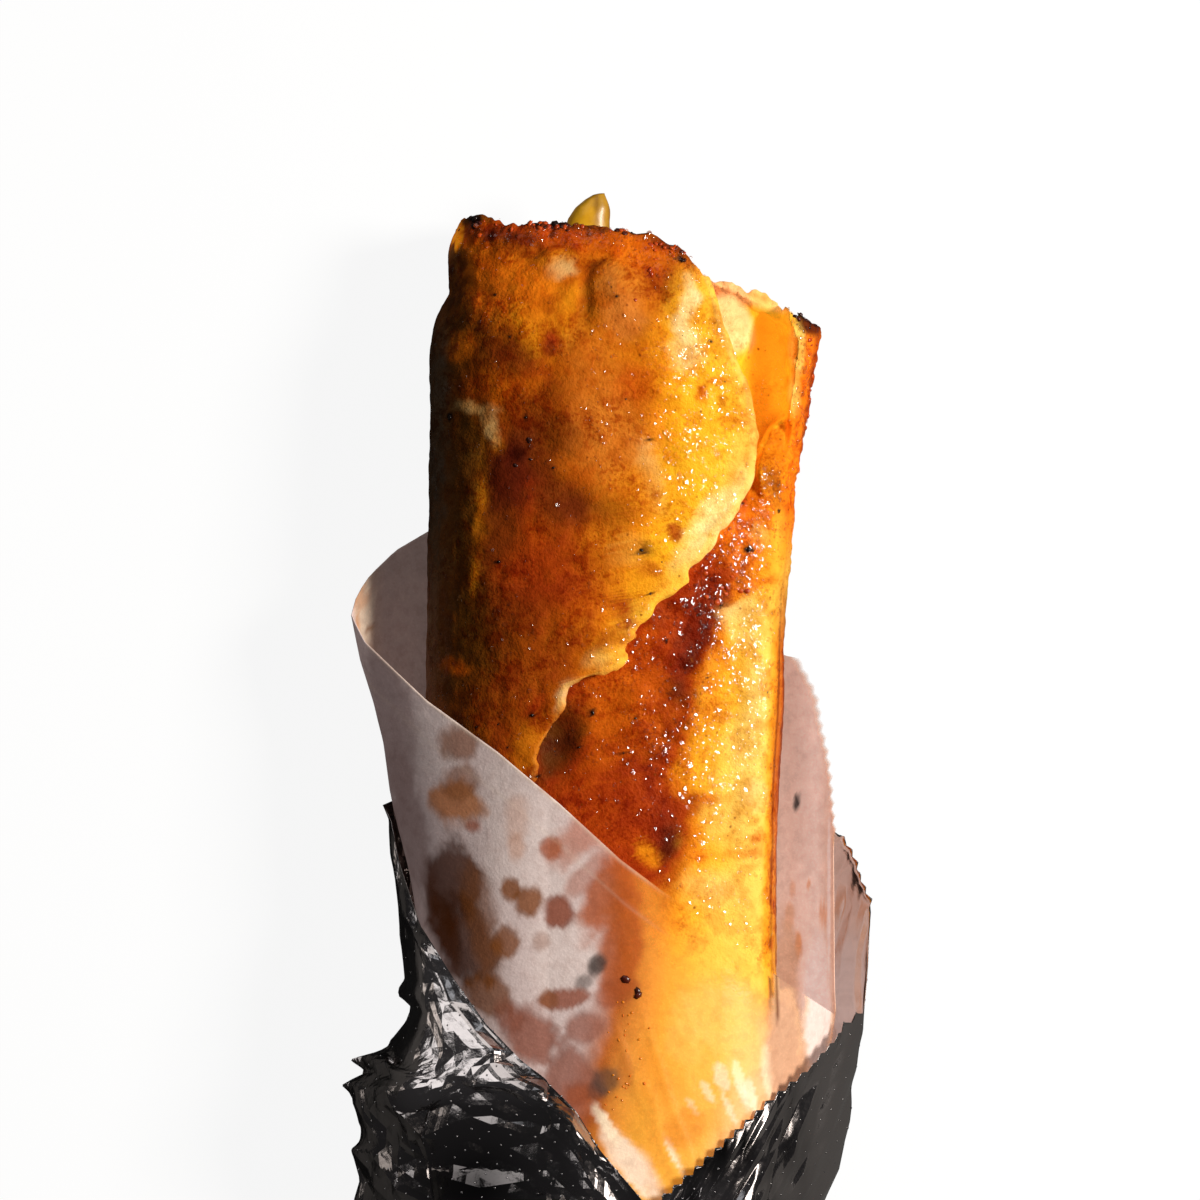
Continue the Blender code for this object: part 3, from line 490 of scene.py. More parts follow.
# Spots: colour, x, y, radii, turn, share, softness. The 'shade' spots are painted shade on the
# flap's dark left side.
FLAP_SPOTS = (
    ("toast", -20, 100, 5, 11, 0, 0.5, 0.5), ("shade", -27, 106, 2.4, 9, 0, 0.7, 0.5),
    ("shade", -25, 92, 4, 5, 0, 0.5, 0.6), ("glow", -16, 106, 7, 5, 0, 0.5, 0.6),
    ("flare", -17, 105, 8, 7, 0, 0.75, 0.6), ("blaze", -20.6, 104.6, 3.4, 5, 0, 0.9, 0.6),
    ("glow", -12, 98, 5, 7, 0, 0.6, 0.6), ("ember", -12, 113.4, 17, 2.8, -3, 0.85, 0.4),
    ("ember", 10, 109, 7, 3.6, -24, 0.85, 0.5), ("burnt", -18, 113.6, 6, 1.6, -8, 0.7, 0.5),
    ("burnt", -3, 115.4, 12, 0.8, -5, 0.6, 0.5), ("burnt", 12, 111, 7, 1, -28, 0.65, 0.5),
    ("rust", 11, 105, 2.6, 4, 0, 0.6, 0.6), ("flare", 4, 111, 6, 1.8, -14, 0.5, 0.6),
    ("sun", 13, 103.5, 2.2, 5, 0, 0.5, 0.6), ("sun", 18, 101, 3, 7, 0, 0.7, 0.6),
    ("glow", 6, 96, 3, 5, 0, 0.5, 0.7), ("toast", 8, 104, 3.4, 4, 0, 0.5, 0.5),
    ("gold", -26.6, 114, 1.4, 3.4, 0, 0.9, 0.3), ("pale", -8.6, 107.6, 2.2, 1.8, 0, 0.9, 0.5),
    ("glow", -10, 109.6, 4, 1.3, 0, 0.6, 0.5), ("tan", 2.8, 103, 3.8, 5.6, 0, 0.85, 0.5),
    ("umber", -3.4, 102.4, 1, 5.6, -6, 0.75, 0.6), ("gold", -6.4, 100, 1.2, 4.5, -6, 0.7, 0.5),
    ("glow", 4.6, 105, 2.2, 3.4, 20, 0.3, 0.6), ("umber", -1.6, 108.2, 2.4, 0.9, 40, 0.7, 0.5),
    ("toast", 4.6, 97, 3, 2, 0, 0.5, 0.6), ("gold", -15.5, 100, 1.5, 5, 6, 0.75, 0.5),
    ("gold", -13, 94, 1.3, 3, 0, 0.75, 0.5), ("rust", -9.2, 94.4, 2.2, 2.2, 0, 0.9, 0.5),
    ("burnt", -9.6, 93.6, 0.9, 1.2, 0, 0.6, 0.6), ("tan", -3, 91, 4, 6, 0, 0.2, 0.6),
    ("glow", -8, 99.4, 1.3, 3.2, 0, 0.6, 0.5), ("toast", -19, 88, 8, 4, 10, 0.7, 0.6),
    ("flare", -25.6, 93.5, 2.4, 2, 0, 0.7, 0.7), ("pale", -23.4, 83.4, 3.2, 1.3, -8, 0.8, 0.5),
    ("pale", -20.2, 79, 1.4, 3.4, 22, 0.8, 0.5), ("gold", -18.6, 76, 1.4, 2.4, 20, 0.5, 0.5),
    ("shade", -26, 77, 2, 8, 0, 0.4, 0.6), ("burnt", -15, 75.2, 3.2, 4.2, 0, 0.9, 0.6),
    ("char", -14.8, 74.8, 1.3, 1.7, 0, 0.85, 0.7), ("rust", -12.6, 67.6, 3.4, 4.4, 0, 0.85, 0.6),
    ("orange", -12, 61, 2.2, 4, 0, 0.4, 0.6), ("tan", 0, 78, 7, 9, 0, 0.45, 0.7),
    ("ember", 5, 87, 3.4, 4, 0, 0.7, 0.6), ("glow", -4, 100, 2, 6, 0, 0.3, 0.7),
    ("flare", -16, 88, 6, 3, 20, 0.4, 0.7), ("glow", -1, 58, 5, 5, 30, 0.45, 0.7),
    ("ash", -30.4, 78, 2, 20, 0, 0.8, 0.5), ("flare", -8, 44, 7, 4, 30, 0.45, 0.7),
    ("char", -13, 78.6, 1.2, 1, 0, 0.6, 0.8), ("burnt", -10, 71, 2.4, 3.6, 20, 0.6, 0.6),
    ("umber", -8, 86, 3, 2, 0, 0.4, 0.7), ("burnt", -5, 65, 4.4, 3.6, 20, 0.75, 0.6),
    ("umber", 3, 64, 3.6, 2.6, 0, 0.6, 0.6), ("glow", -22.3, 63, 1.1, 7.5, 0, 0.6, 0.6),
    ("gold", -23, 52, 0.9, 3, 0, 0.55, 0.6), ("burnt", -19.5, 64, 1.6, 8, 0, 0.4, 0.7),
    ("shade", -21, 46, 4, 7, 0, 0.6, 0.7), ("rust", -9, 53, 9, 9, 0, 0.75, 0.7),
    ("umber", -14, 44, 6, 6, 0, 0.5, 0.7), ("orange", -26.8, 36.5, 2.2, 1.6, 0, 0.85, 0.6),
    ("shade", -22.6, 36, 2.4, 3.4, 0, 0.35, 0.6), ("toast", -17, 28, 9, 6, -30, 0.6, 0.5),
    ("glow", -12, 22, 3.4, 4.4, -20, 0.5, 0.7), ("umber", -23, 30, 5, 3, -20, 0.3, 0.6),
    ("rust", -12, 30.5, 2.4, 1.2, 30, 0.6, 0.6), ("rust", 12, 61, 1.3, 1.6, 0, 0.85, 0.5),
    ("rust", 3.8, 47.4, 2.2, 2.4, 0, 0.9, 0.6), ("rust", 8, 54.5, 2, 1.2, -30, 0.6, 0.6),
    ("umber", -6, 42, 4, 3, 30, 0.45, 0.7), ("cream", 4, 57, 3, 2, 40, 0.35, 0.7),
    # the two 'white' spots near x 15, here and on the next line, are a painted sheen of oil
    ("burnt", 7.2, 57.6, 1.5, 1, -30, 0.8, 0.7), ("white", 14.8, 99, 1.5, 5.6, 0, 0.85, 0.5),
    ("white", 14.6, 92, 3, 3, 0, 0.7, 0.5), ("butter", 20, 63, 5.5, 3, 42, 0.9, 0.5),
    ("butter", 24.8, 69, 1.4, 3, -10, 0.4, 0.5), ("rust", -2, 41, 3, 2.2, 30, 0.5, 0.6),
    ("toastgold", 3, 41.6, 3, 2, 0, 0.6, 0.6), ("sun", 21, 90, 2.4, 6, 10, 0.6, 0.6),
    ("butter", 8, 70, 2.2, 5, 20, 0.4, 0.7), ("sun", 9, 46.6, 3, 1.8, 40, 0.6, 0.6),
    ("rust", 5.2, 44.2, 1.4, 1.1, 0, 0.8, 0.6), ("butter", -1.6, 38, 2.6, 1.4, 30, 0.25, 0.6),
    ("sun", 0.6, 40.4, 3, 2, 30, 0.4, 0.6), ("orange", 17.4, 84.6, 1.4, 1.6, 0, 0.7, 0.5),
    ("orange", 20.6, 87.4, 2.6, 0.8, 10, 0.5, 0.6), ("orange", 22, 80.6, 1.6, 0.8, 0, 0.4, 0.6),
    ("toast", -6, 12, 7, 5, -30, 0.6, 0.6), ("shade", -27, 0, 7, 11, 0, 0.9, 0.5),
    ("flare", -13.5, 104.5, 4.4, 4.6, 0, 0.7, 0.6), ("flare", -20, 109.5, 4, 3, 0, 0.6, 0.6),
    ("flare", 2, 110.6, 5, 2.2, -8, 0.6, 0.6), ("tan", 3, 99, 3.6, 3.4, 0, 0.7, 0.6),
    ("toast", -15, 111.6, 5, 1.6, -6, 0.8, 0.6), ("orange", -21, 106, 3, 3, 0, 0.6, 0.6),
    ("umber", -16, 92, 4.4, 3.6, -20, 0.75, 0.6), ("umber", -10, 78, 5.5, 5, 10, 0.75, 0.6),
    ("burnt", -17, 70, 4, 6, 0, 0.85, 0.6), ("umber", -8.4, 66, 4.6, 4.4, 0, 0.8, 0.6),
    ("umber", -20, 58, 3, 5, 0, 0.75, 0.6), ("glow", 6, 67, 4.2, 5, 0, 0.75, 0.6),
    ("glow", 8, 52, 2.6, 2, 0, 0.6, 0.6), ("toast", -9, 38, 5, 4.6, 0, 0.85, 0.6),
    ("milk", -6.6, 32.4, 1.3, 2.8, -24, 0.7, 0.5), ("rust", 0, 40.6, 2.6, 1.2, 40, 0.6, 0.5),
)
# Spots of the layer below: its 'shade' spots are painted shade, in the dark dent beside the flap's
# edge and on the dark left under the paper.
UNDER_SPOTS = (
    ("rust", 22.6, 57, 3.4, 2.4, -40, 0.6, 0.6), ("garnet", 20.4, 49.5, 2.6, 2, -40, 0.75, 0.6),
    ("garnet", 17.6, 44.6, 2, 4.6, -18, 0.95, 0.6), ("burnt", 17.2, 43.4, 0.7, 2.4, -14, 0.5, 0.8),
    ("burnt", 18.4, 47.4, 1.2, 0.7, -40, 0.5, 0.8), ("burnt", 15.2, 38.4, 1.6, 3, -10, 0.8, 0.7),
    ("burnt", 13, 33.5, 2, 2.6, 0, 0.75, 0.6), ("garnet", 14.4, 40, 2.2, 3.6, -10, 0.7, 0.6),
    ("burnt", 9, 47, 5, 3, 40, 0.3, 0.7), ("flare", 3, 29, 8, 9, -35, 0.4, 0.8),
    ("flare", 24.6, 59.6, 4.4, 4.2, 40, 0.75, 0.6), ("flare", 28.6, 65, 3, 8, -10, 0.8, 0.5),
    # the cream and butter patches of the layer below are painted light on its bright right side
    ("cream", 28.2, 61, 1.8, 2.4, 0, 0.5, 0.6), ("butter", 24, 46.6, 3, 2.2, 30, 0.8, 0.5),
    ("butter", 27, 30, 1.6, 6, 0, 0.5, 0.5), ("butter", 25, 22, 2.6, 4, 20, 0.15, 0.6),
    ("sun", 19, 30, 2.4, 10, -8, 0.4, 0.7), ("butter", 26, 14, 2.4, 3, 0, 0.7, 0.6),
    ("butter", 19, -3, 4, 3, 0, 0.5, 0.7), ("orange", 8.6, 41.6, 1.4, 1.6, 0, 0.5, 0.6),
    ("shade", -8, 23.5, 3.6, 7.4, -24, 0.85, 0.6), ("char", -5.4, 24.4, 1.6, 1.4, 0, 0.3, 0.7),
    ("burnt", 10.8, 5.6, 1.8, 3.8, 0, 0.9, 0.6), ("gold", 7.8, 3, 1.4, 2.4, 20, 0.9, 0.5),
    ("rust", 15.6, 12.5, 3.6, 1.8, 10, 0.7, 0.7), ("orange", 19.6, 36, 1.2, 8, -6, 0.3, 0.8),
    ("orange", 26, 51.5, 4, 1.4, 12, 0.75, 0.6), ("cream", 25.6, 44.5, 3.2, 4.4, 0, 0.75, 0.6),
    ("cream", 26, 27.6, 2.4, 6, 0, 0.4, 0.6), ("cream", 22, 10, 3.6, 4, 0, 0.6, 0.6),
    ("cream", 26.4, 36, 2, 3, 0, 0.5, 0.7), ("orange", 19, 13.5, 2, 1, 0, 0.55, 0.6),
    ("orange", 24, 3.8, 3.4, 0.9, 0, 0.6, 0.6), ("orange", 17.4, 3.6, 1.6, 1.2, 0, 0.6, 0.6),
    ("orange", 26.4, 6.4, 1.4, 1, 0, 0.6, 0.6), ("orange", 22, -3, 3, 1.2, 0, 0.2, 0.8),
    ("sun", 20, -36, 16, 32, 0, 0.5, 0.4), ("orange", 15, -44, 8, 7, 0, 0.6, 0.7),
    ("ember", 5, -14, 5, 14, -8, 0.6, 0.7), ("shade", -26, -20, 8, 26, 0, 0.7, 0.5),
)
POCKET_SPOTS = (
    ("deep", 30, 86, 8, 18, 0, 1, 0.3), ("sun", 24.6, 91, 1.6, 4, -14, 0.6, 0.6),
    ("tongue", 27.4, 80, 2.2, 8, -6, 0.5, 0.7), ("milk", 22.6, 98.2, 3.6, 5.6, 25, 0.95, 0.25),
    ("tongue", 32, 73, 4.6, 8.4, 10, 0.95, 0.2), ("deep", 28.2, 76.6, 2.8, 0.45, 66, 0.8, 0.4),
    ("deep", 30.9, 80.2, 2.4, 0.45, 40, 0.8, 0.4), ("milk", 25, 104.4, 10, 2.2, -20, 0.8, 0.3),
    ("cream", 28, 102.4, 2.4, 1.6, -30, 0.5, 0.5),
    ("toast", 23.4, 103.2, 5.5, 0.35, -24, 0.45, 0.6), ("orange", 29, 102.6, 1.2, 0.8, 0, 0.5, 0.6),
    ("orange", 26.4, 103.4, 1.4, 0.5, -20, 0.4, 0.6),
)
# Spots of the open fold's right wall; its two 'cream' strips are painted light.
WALL_SPOTS = (
    ("flare", 35.4, 82, 2.6, 24, -7, 0.95, 0.3), ("orange", 36.6, 78, 1.2, 10, -8, 0.7, 0.6),
    ("cream", 34.5, 94, 1.3, 4.8, 0, 0.95, 0.4), ("cream", 33.9, 85.5, 1, 3.2, 0, 0.9, 0.5),
    ("rust", 37, 84, 0.9, 17, -7, 0.8, 0.6), ("burnt", 36.8, 98, 2.4, 2, -30, 0.95, 0.4),
    ("char", 35.4, 99.8, 3.8, 1, -28, 0.95, 0.4),
)
# Black flecks: x, y, radii.
CHAR_FLECKS = (
    (-23.5, 117, 1.5, 0.9), (-9, 115.7, 2.6, 0.8), (-12, 115.9, 0.9, 0.6), (2.5, 115.1, 1.3, 0.7),
    (5, 114.2, 0.6, 0.5), (13.5, 109.4, 0.8, 0.6), (10.5, 111.5, 0.5, 0.4), (-27.8, 81.4, 0.7, 0.9),
    (-14.2, 81, 0.35, 0.6), (-19, 55.2, 0.95, 0.32), (6.5, 57, 0.9, 0.6), (8, 49.5, 0.5, 0.35),
    (-13, 28.2, 0.6, 0.5), (2.2, 102.5, 0.35, 0.3), (1, 104, 0.28, 0.2), (18.8, 94.5, 0.4, 0.4),
    (13.5, 95.8, 0.26, 0.26), (-19.7, 103, 0.4, 0.4), (-17, 95.4, 0.35, 0.5),
    (21, 87.4, 0.28, 0.28), (3.4, 84, 0.5, 0.22), (8, 77, 0.25, 0.25), (-9.4, 72.3, 0.4, 0.5),
    (25.6, 57.6, 0.95, 0.5), (20.6, 47.7, 0.4, 0.3), (-2.3, 28.6, 0.7, 0.8), (5.6, 27.8, 0.45, 0.4),
    (24.5, 65.8, 0.3, 0.3), (31, 64.5, 0.3, 0.4), (3.2, 21.2, 0.35, 0.3), (-4.8, 22.5, 0.5, 0.4),
    (18.2, 35, 0.25, 0.25), (29, 32.2, 0.22, 0.22), (-17.4, 22.3, 0.35, 0.3), (-19, 26.5, 0.3, 0.3),
    (-22.8, 26, 0.35, 0.3), (10.8, 41.6, 0.4, 0.3), (-12, 17.4, 0.6, 0.25), (10.4, 55.2, 0.3, 0.3),
)


def gradient(tones, x):
    """Colour of a list of (x, screen colour), straight between its points."""
    at = [place for place, _ in tones]
    colours = np.array([srgb(*colour) for _, colour in tones])
    return np.stack([np.interp(x, at, colours[:, k]) for k in range(3)], axis=-1)


def lay_spots(tone, x, y, ragged, spots):
    """Mix each spot's colour in: its share falls from 1 to 0 round an ellipse whose
    edge the ragged noise pushes in and out."""
    for colour, *spot, share, soft in spots:
        far = spot_distance(x, y, *spot) + 0.4 * ragged
        weight = share * (1 - ease(far, 1 - soft, 1 + soft))[..., None]
        tone += (CRUST[colour] - tone) * weight
    return tone


def flap_tones(x, y, x_warped, ragged):
    """Flap colours: left gradient by x, right gradient by distance past the bright
    line, and a butter band along the free edge, partly pale bread and partly painted light on the
    lit edge."""
    past = x_warped + 2.2 * ragged - smooth_table(FLAP_LINE, y)
    share = ease(past, -7, 0)[..., None]
    left, right = gradient(FLAP_LEFT_TONES, x_warped), gradient(FLAP_RIGHT_TONES, past)
    tone = left + (right - left) * share
    inside = 0.75 * (smooth_table(FLAP_EDGE, y) - x)
    width = 1.2 + 1.8 * ease(y, 32, 38) - 0.9 * ease(y, 74, 80)
    band = 1 - ease(inside + 1.1 * ragged, width * 0.5, width * 1.6)
    band = band * (0.1 + 0.6 * ease(y, 52, 58) - 0.5 * ease(y, 68, 76)) * ease(y, 26, 34)
    # butter band: partly pale bread, partly painted light on the lit edge
    tone += (CRUST["butter"] - tone) * band[..., None]
    return tone


def under_tones(x, y, x_warped, ragged):
    """Colours of the layer below: by distance past the toasted band's edge, then by
    x along the narrow right side."""
    past = x_warped + 1.6 * ragged - smooth_table(UNDER_LINE, y)
    tone = gradient(UNDER_TONES, past)
    from_side = x - smooth_table(ROLL_RIGHT, y) + 31.4 + 0.2 * ragged
    side = ease(from_side, 28, 29.4) * (1 - 0.75 * ease(y, 38, 56))
    return tone + (gradient(SIDE_TONES, from_side) - tone) * side[..., None]


def roll_tones(points, part):
    """Colour of every point of the roll: flap, layer below, rim and underside, their
    spots, redder and darker where the ragged clouds are high and paler where they are
    low, the bright bread toned down a little to leave room for its painted glow, and black flecks."""
    x, y = points[..., 0], points[..., 1]
    ragged = clouds(points, 3.2, 31, 3) + 0.5 * clouds(points, 1.1, 37, 2)
    warp_x = x + 1.5 * clouds(points, 6, 41, 2) + 0.6 * clouds(points, 1.6, 43, 2)
    warp_y = y + 1.5 * clouds(points, 6, 45, 2) + 0.6 * clouds(points, 1.6, 47, 2)
    flap = flap_tones(x, y, warp_x, ragged)
    under = under_tones(x, y, warp_x, ragged)
    lay_spots(flap, warp_x, warp_y, ragged, FLAP_SPOTS)
    lay_spots(under, warp_x, warp_y, ragged, UNDER_SPOTS)
    smooth = 0.3 * ragged
    for spots in (POCKET_SPOTS, WALL_SPOTS):
        lay_spots(under, x, y, smooth, spots)
    tone = np.where((part == FLAP)[..., None], flap, under)
    share = 0.12 + 0.6 * ease(y, 50, 57) + 0.25 * bell(y - 33, 4)
    share = share * np.clip(0.9 + 1.2 * ragged, 0.1, 1.2)
    crumb = flap + (CRUST["cream"] - flap) * share[..., None]
    tone = np.where((part == RIM)[..., None], crumb, tone)
    toasted = ease(ragged, 0.02, 0.4)[..., None]
    plain = 1 - ((x > 19) & (y > 70) & (x < 33.5) & (part == UNDER))[..., None]
    tone *= 1 - toasted * plain * np.array([0.14, 0.28, 0.42])
    pale = ease(-ragged, 0.1, 0.5)[..., None] * plain
    tone *= 1 + pale * np.array([0.06, 0.13, 0.3])
    side = srgb(128, 70, 26) * (1 + 0.3 * ragged[..., None])
    tone = np.where((part == BELOW)[..., None], side, tone)
    # less colour on the bright bread, where its painted glow adds light
    tone *= 1 - 0.13 * bright_bread(x, y, part)[..., None]
    for fleck in CHAR_FLECKS:
        far = spot_distance(x, y, *fleck) + 0.5 * ragged
        weight = (1 - ease(far, 0.6, 1.2))[..., None] * (part < BELOW)[..., None]
        tone += (CRUST["char"] - tone) * weight
    return np.clip(tone, 0.003, 1)


# Wet patches: x, y, radii, strength.
WET_SPOTS = (
    (15, 91, 7, 9, 1), (14, 74, 6, 7, 1), (24, 60, 7, 9, 0.5), (16, 46, 7, 12, 0.3),
    (26, 34, 4, 13, 1), (-3, 114, 20, 2.5, 0.8), (10, 110, 7, 4, 0.8), (6, 26, 10, 18, 0.45),
    (18, 12, 10, 10, 0.4), (5, 48, 5, 5, 0.5), (36, 76, 3, 14, 0.5), (22, -8, 9, 16, 0.3),
)


def wetness(points, part):
    """How oily each point is: bells round the wet patches, broken up by clouds."""
    x, y = points[..., 0], points[..., 1]
    wet = 0.12 + 0 * x
    for *spot, strength in WET_SPOTS:
        wet = np.maximum(wet, strength * bell(spot_distance(x, y, *spot), 1.1))
    wet = wet * (0.75 + 0.5 * clouds(points, 2.5, 51, 2))
    return np.clip(wet, 0, 1) * (part < BELOW)


# Thin left corner of the mouth, given a painted glow: x, y, radii.
THIN_CORNER = (-27.5, 113.5, 2.2, 4)


def through_light(points, part):
    """Painted glow, shown as emission: it stands in for the light that thin bread lets
    through, in the open fold, on the bright bread and at the thin left corner."""
    x, y = points[..., 0], points[..., 1]
    wave = 0.8 * clouds(points, 3, 53, 2)
    fold = ease(x, 18, 20) * (1 - ease(x + wave, 32.5, 34.5)) * ease(y, 69, 74) * (part == UNDER)
    corner = bell(spot_distance(x, y, *THIN_CORNER), 1) * (part == FLAP)
    return np.maximum(0.5 * fold, 0.32 * bright_bread(x, y, part)) + 0.5 * corner


# Mouth: how far each ring has passed into the lens, its size, and its depth; rings
# deeper than the floor fall lie on the recess floor.
MOUTH_STEPS = (
    (0, 1, 0.5), (0.3, 1, 1), (0.6, 1, 1.4), (0.85, 1, 1.9), (1, 1, 2.6), (1, 0.99, 4),
    (1, 0.98, 5.5), (1, 0.96, 7), (1, 0.94, 8.4), (1, 0.86, 10), (1, 0.6, 10.6), (1, 0.3, 10.8),
    (1, 0.02, 10.8),
)
MOUTH_FLOOR_FALL = 9.0


def mouth_rings(lip):
    """Rings from the lip into the mouth: the lip's own outline passes into a lens by
    polar angle, runs down to the recess floor and shrinks to its middle."""
    centre_x, centre_z = RECESS_CENTRE
    angle = np.unwrap(np.arctan2(lip[:, 2] - centre_z, lip[:, 0] - centre_x))
    falling = angle[-1] < angle[0]
    order = (np.minimum if falling else np.maximum).accumulate(angle)
    lens = np.stack([
        centre_x + RECESS_HALF[0] * np.cos(order),
        0 * order,
        centre_z + RECESS_HALF[1] * np.sin(order),
    ], axis=1)
    sunk = lip.copy()
    sunk[:, 2] = np.where(lip[:, 0] > SUNK_X, np.minimum(lip[:, 2], SUNK_Z), lip[:, 2])
    rings = []
    for share, size, fall in MOUTH_STEPS:
        ring = sunk * (1 - share) + lens * share
        ring[:, 0] = centre_x + (ring[:, 0] - centre_x) * size
        ring[:, 2] = centre_z + (ring[:, 2] - centre_z) * size
        level = lip[:, 1] - fall
        level = np.where(share >= 1, np.minimum(level, RECESS_MOUTH_Y - fall), level)
        ring[:, 1] = RECESS_FLOOR_Y + 0.5 * size if fall > MOUTH_FLOOR_FALL else level
        rings.append(ring)
    return np.array(rings)


# Profile of a dome from its top as (reach, rise), and its sides.
DOME_PROFILE = ((0, 1), (0.72, 0.8), (1.08, -0.4), (0, -1.2))
DOME_SIDES = 6


def join_domes(name, places, normals, sizes, tones, owner, uneven, seed, glow=0.0, smooth=True):
    """Small domes joined in one mesh. A dome is a profile of (reach, rise) turned
    round its normal: place + radius reach (cos(turn) a + squeeze sin(turn) b) +
    height rise normal, where a and b are square to the normal."""
    chance = np.random.default_rng(seed)
    count = len(places)
    reach, rise = np.array(DOME_PROFILE).T[:, None, :, None, None]
    turn = np.linspace(0, 2 * np.pi, DOME_SIDES, endpoint=False)[None, None, :, None]
    turn = turn + 2 * np.pi * chance.random((count, 1, 1, 1))
    a = np.cross(normals, chance.normal(size=(count, 3)))
    a /= np.linalg.norm(a, axis=1, keepdims=True)
    b = np.cross(normals, a)
    place, normal, a, b = (value[:, None, None, :] for value in (places, normals, a, b))
    radius, squeeze, height = (sizes[:, k][:, None, None, None] for k in range(3))
    rings = len(DOME_PROFILE)
    radius = radius * (1 + uneven * chance.uniform(-1, 1, (count, rings, DOME_SIDES, 1)))
    flat = reach * radius * (np.cos(turn) * a + squeeze * np.sin(turn) * b)
    points = place + flat + rise * height * normal
    per = rings * DOME_SIDES
    quads = grid_faces(rings, DOME_SIDES, flip=True)[None]
    quads = (quads + per * np.arange(count)[:, None, None]).reshape(-1, 4)
    tones = np.repeat(tones, per, axis=0)
    glow = np.repeat(np.broadcast_to(glow, count), per)
    points = points.reshape(-1, 3)
    return build_mesh(name, points, quads, owner, tones, {"glow": glow}, smooth)


# Where oil stands in beads: x, y, radii, how thickly.
OIL_SPOTS = (
    (15, 92, 5, 8, 1.3), (14.5, 74, 4.5, 5, 1.4), (15.5, 101, 2.5, 6, 0.8), (18, 84, 7, 12, 0.35),
    (10, 80, 8, 16, 0.22), (24, 58, 4, 4, 0.9), (28, 64, 2.4, 7, 0.8), (20, 50, 4.5, 5, 0.8),
    (16, 42, 4, 7, 0.7), (8, 44, 3, 3, 0.6), (25, 36, 4, 12, 0.5), (20, 20, 7, 14, 0.5),
    (8, 30, 9, 10, 0.55), (6, 18, 9, 8, 0.5), (-4, 113.6, 18, 1.8, 1), (10, 109.4, 6, 3, 1.2),
    (12, 105, 3, 3, 0.9), (-20, 112, 5, 3, 0.3), (36, 78, 2, 16, 0.5), (2, 88, 8, 12, 0.12),
    (4, 44, 5, 4, 0.4), (10, 57, 4, 4, 0.35), (-6, 60, 14, 30, 0.05), (22, -4, 6, 9, 0.15),
)
OIL_COUNT = 5000
# Beads: least radius and how much wider they get, height as shares of the radius, lean
# towards the lit side with its scatter, and scatter of their places.
BEAD_RADIUS = (0.17, 0.36)
BEAD_HEIGHT = (0.08, 0.16)
BEAD_LEAN = np.array([0.28, 0.06, 0.0])
BEAD_TILT = 0.12
BEAD_DRIFT = 0.25
# Toasted and charred lumps: x, y, radii, count.
TOASTED_RUNS = (
    (-18, 115.6, 6, 1.2, 10), (-9, 115.4, 5, 1, 9), (2, 115, 5, 1, 9), (11, 111.2, 5, 1.6, 12),
    (37.2, 88, 0.8, 9, 10), (20, 50, 4, 4, 12), (10, 108, 5, 3, 5),
)
CHARRED_RUNS = (
    (-23.4, 116.4, 1.2, 0.8, 6), (-8.6, 115.4, 2.2, 0.7, 9), (2.6, 114.9, 1.2, 0.6, 6),
    (13.4, 109.4, 0.9, 1, 5), (34.6, 99.8, 2.6, 1, 10), (37.3, 97.9, 1, 1, 6),
    (-14.8, 75, 1.6, 2.4, 4), (17.4, 44.4, 1, 3, 2),
)


def nearest(grid, target):
    """Index of the grid point nearest to each (x, y) target, and the distance squared."""
    far = (grid[None, :, 0] - target[:, :1]) ** 2 + (grid[None, :, 1] - target[:, 1:]) ** 2
    return far.argmin(axis=1), far.min(axis=1)


def pick_near(grid, spots, chance, spread_share):
    """Index of the grid point nearest to each of the spots' random places."""
    rows = []
    for at_x, at_y, wide, tall, count in spots:
        spread = chance.normal(size=(count, 2)) * spread_share
        rows.append(np.array([at_x, at_y]) + spread * np.array([wide, tall]))
    return nearest(grid, np.concatenate(rows))[0]


# Kinds of lumps: name, runs, dark and light colour, least radius and how much wider they
# get (flecks take theirs from their runs), and height as a share of the radius.
LUMP_KINDS = (
    ("toasted_lumps", TOASTED_RUNS, CRUST["rust"], CRUST["ember"], (0.3, 0.4), 0.3),
    ("charred_lumps", CHARRED_RUNS, CRUST["char"], CRUST["burnt"], (0.26, 0.4), 0.34),
    ("black_flecks", [(*fleck, 1) for fleck in CHAR_FLECKS], CRUST["char"],
     1.6 * CRUST["char"], None, 0.3),
)


def make_beads(grid, normal, tones, glow, chance):
    """Beads of oil scattered over the crust by the bells of the oil's spots and broken
    up by clouds, in one mesh; each is moved along the crust and leans to the light."""
    x, y = grid[:, 0], grid[:, 1]
    weight = 0.02 + 0.05 * ease(x, 6, 12)
    for *spot, thick in OIL_SPOTS:
        weight = weight + thick * bell(spot_distance(x, y, *spot), 1)
    weight *= np.clip(0.5 + 1.6 * clouds(grid, 2.2, 303, 2), 0.03, 2)
    picks = chance.choice(len(grid), OIL_COUNT, replace=False, p=weight / weight.sum())
    radius = BEAD_RADIUS[0] + BEAD_RADIUS[1] * chance.random(OIL_COUNT) ** 2.5
    radius *= 1 + 0.4 * np.clip(weight[picks], 0, 1)
    lean = normal[picks] + BEAD_LEAN + BEAD_TILT * chance.normal(size=(OIL_COUNT, 3))
    lean /= np.linalg.norm(lean, axis=1, keepdims=True)
    squeeze = chance.uniform(0.45, 1, OIL_COUNT)
    height = radius * chance.uniform(*BEAD_HEIGHT, OIL_COUNT)
    drift = BEAD_DRIFT * chance.normal(size=(OIL_COUNT, 3))
    drift -= normal[picks] * (drift * normal[picks]).sum(axis=1, keepdims=True)
    beads = join_domes(
        "oil_beads", grid[picks] + drift, lean, np.stack([radius, squeeze, height], axis=1),
        tones[picks], "bread", 0.1, 305, glow[picks], smooth=False,
    )
    beads.data.materials.append(oil_material())


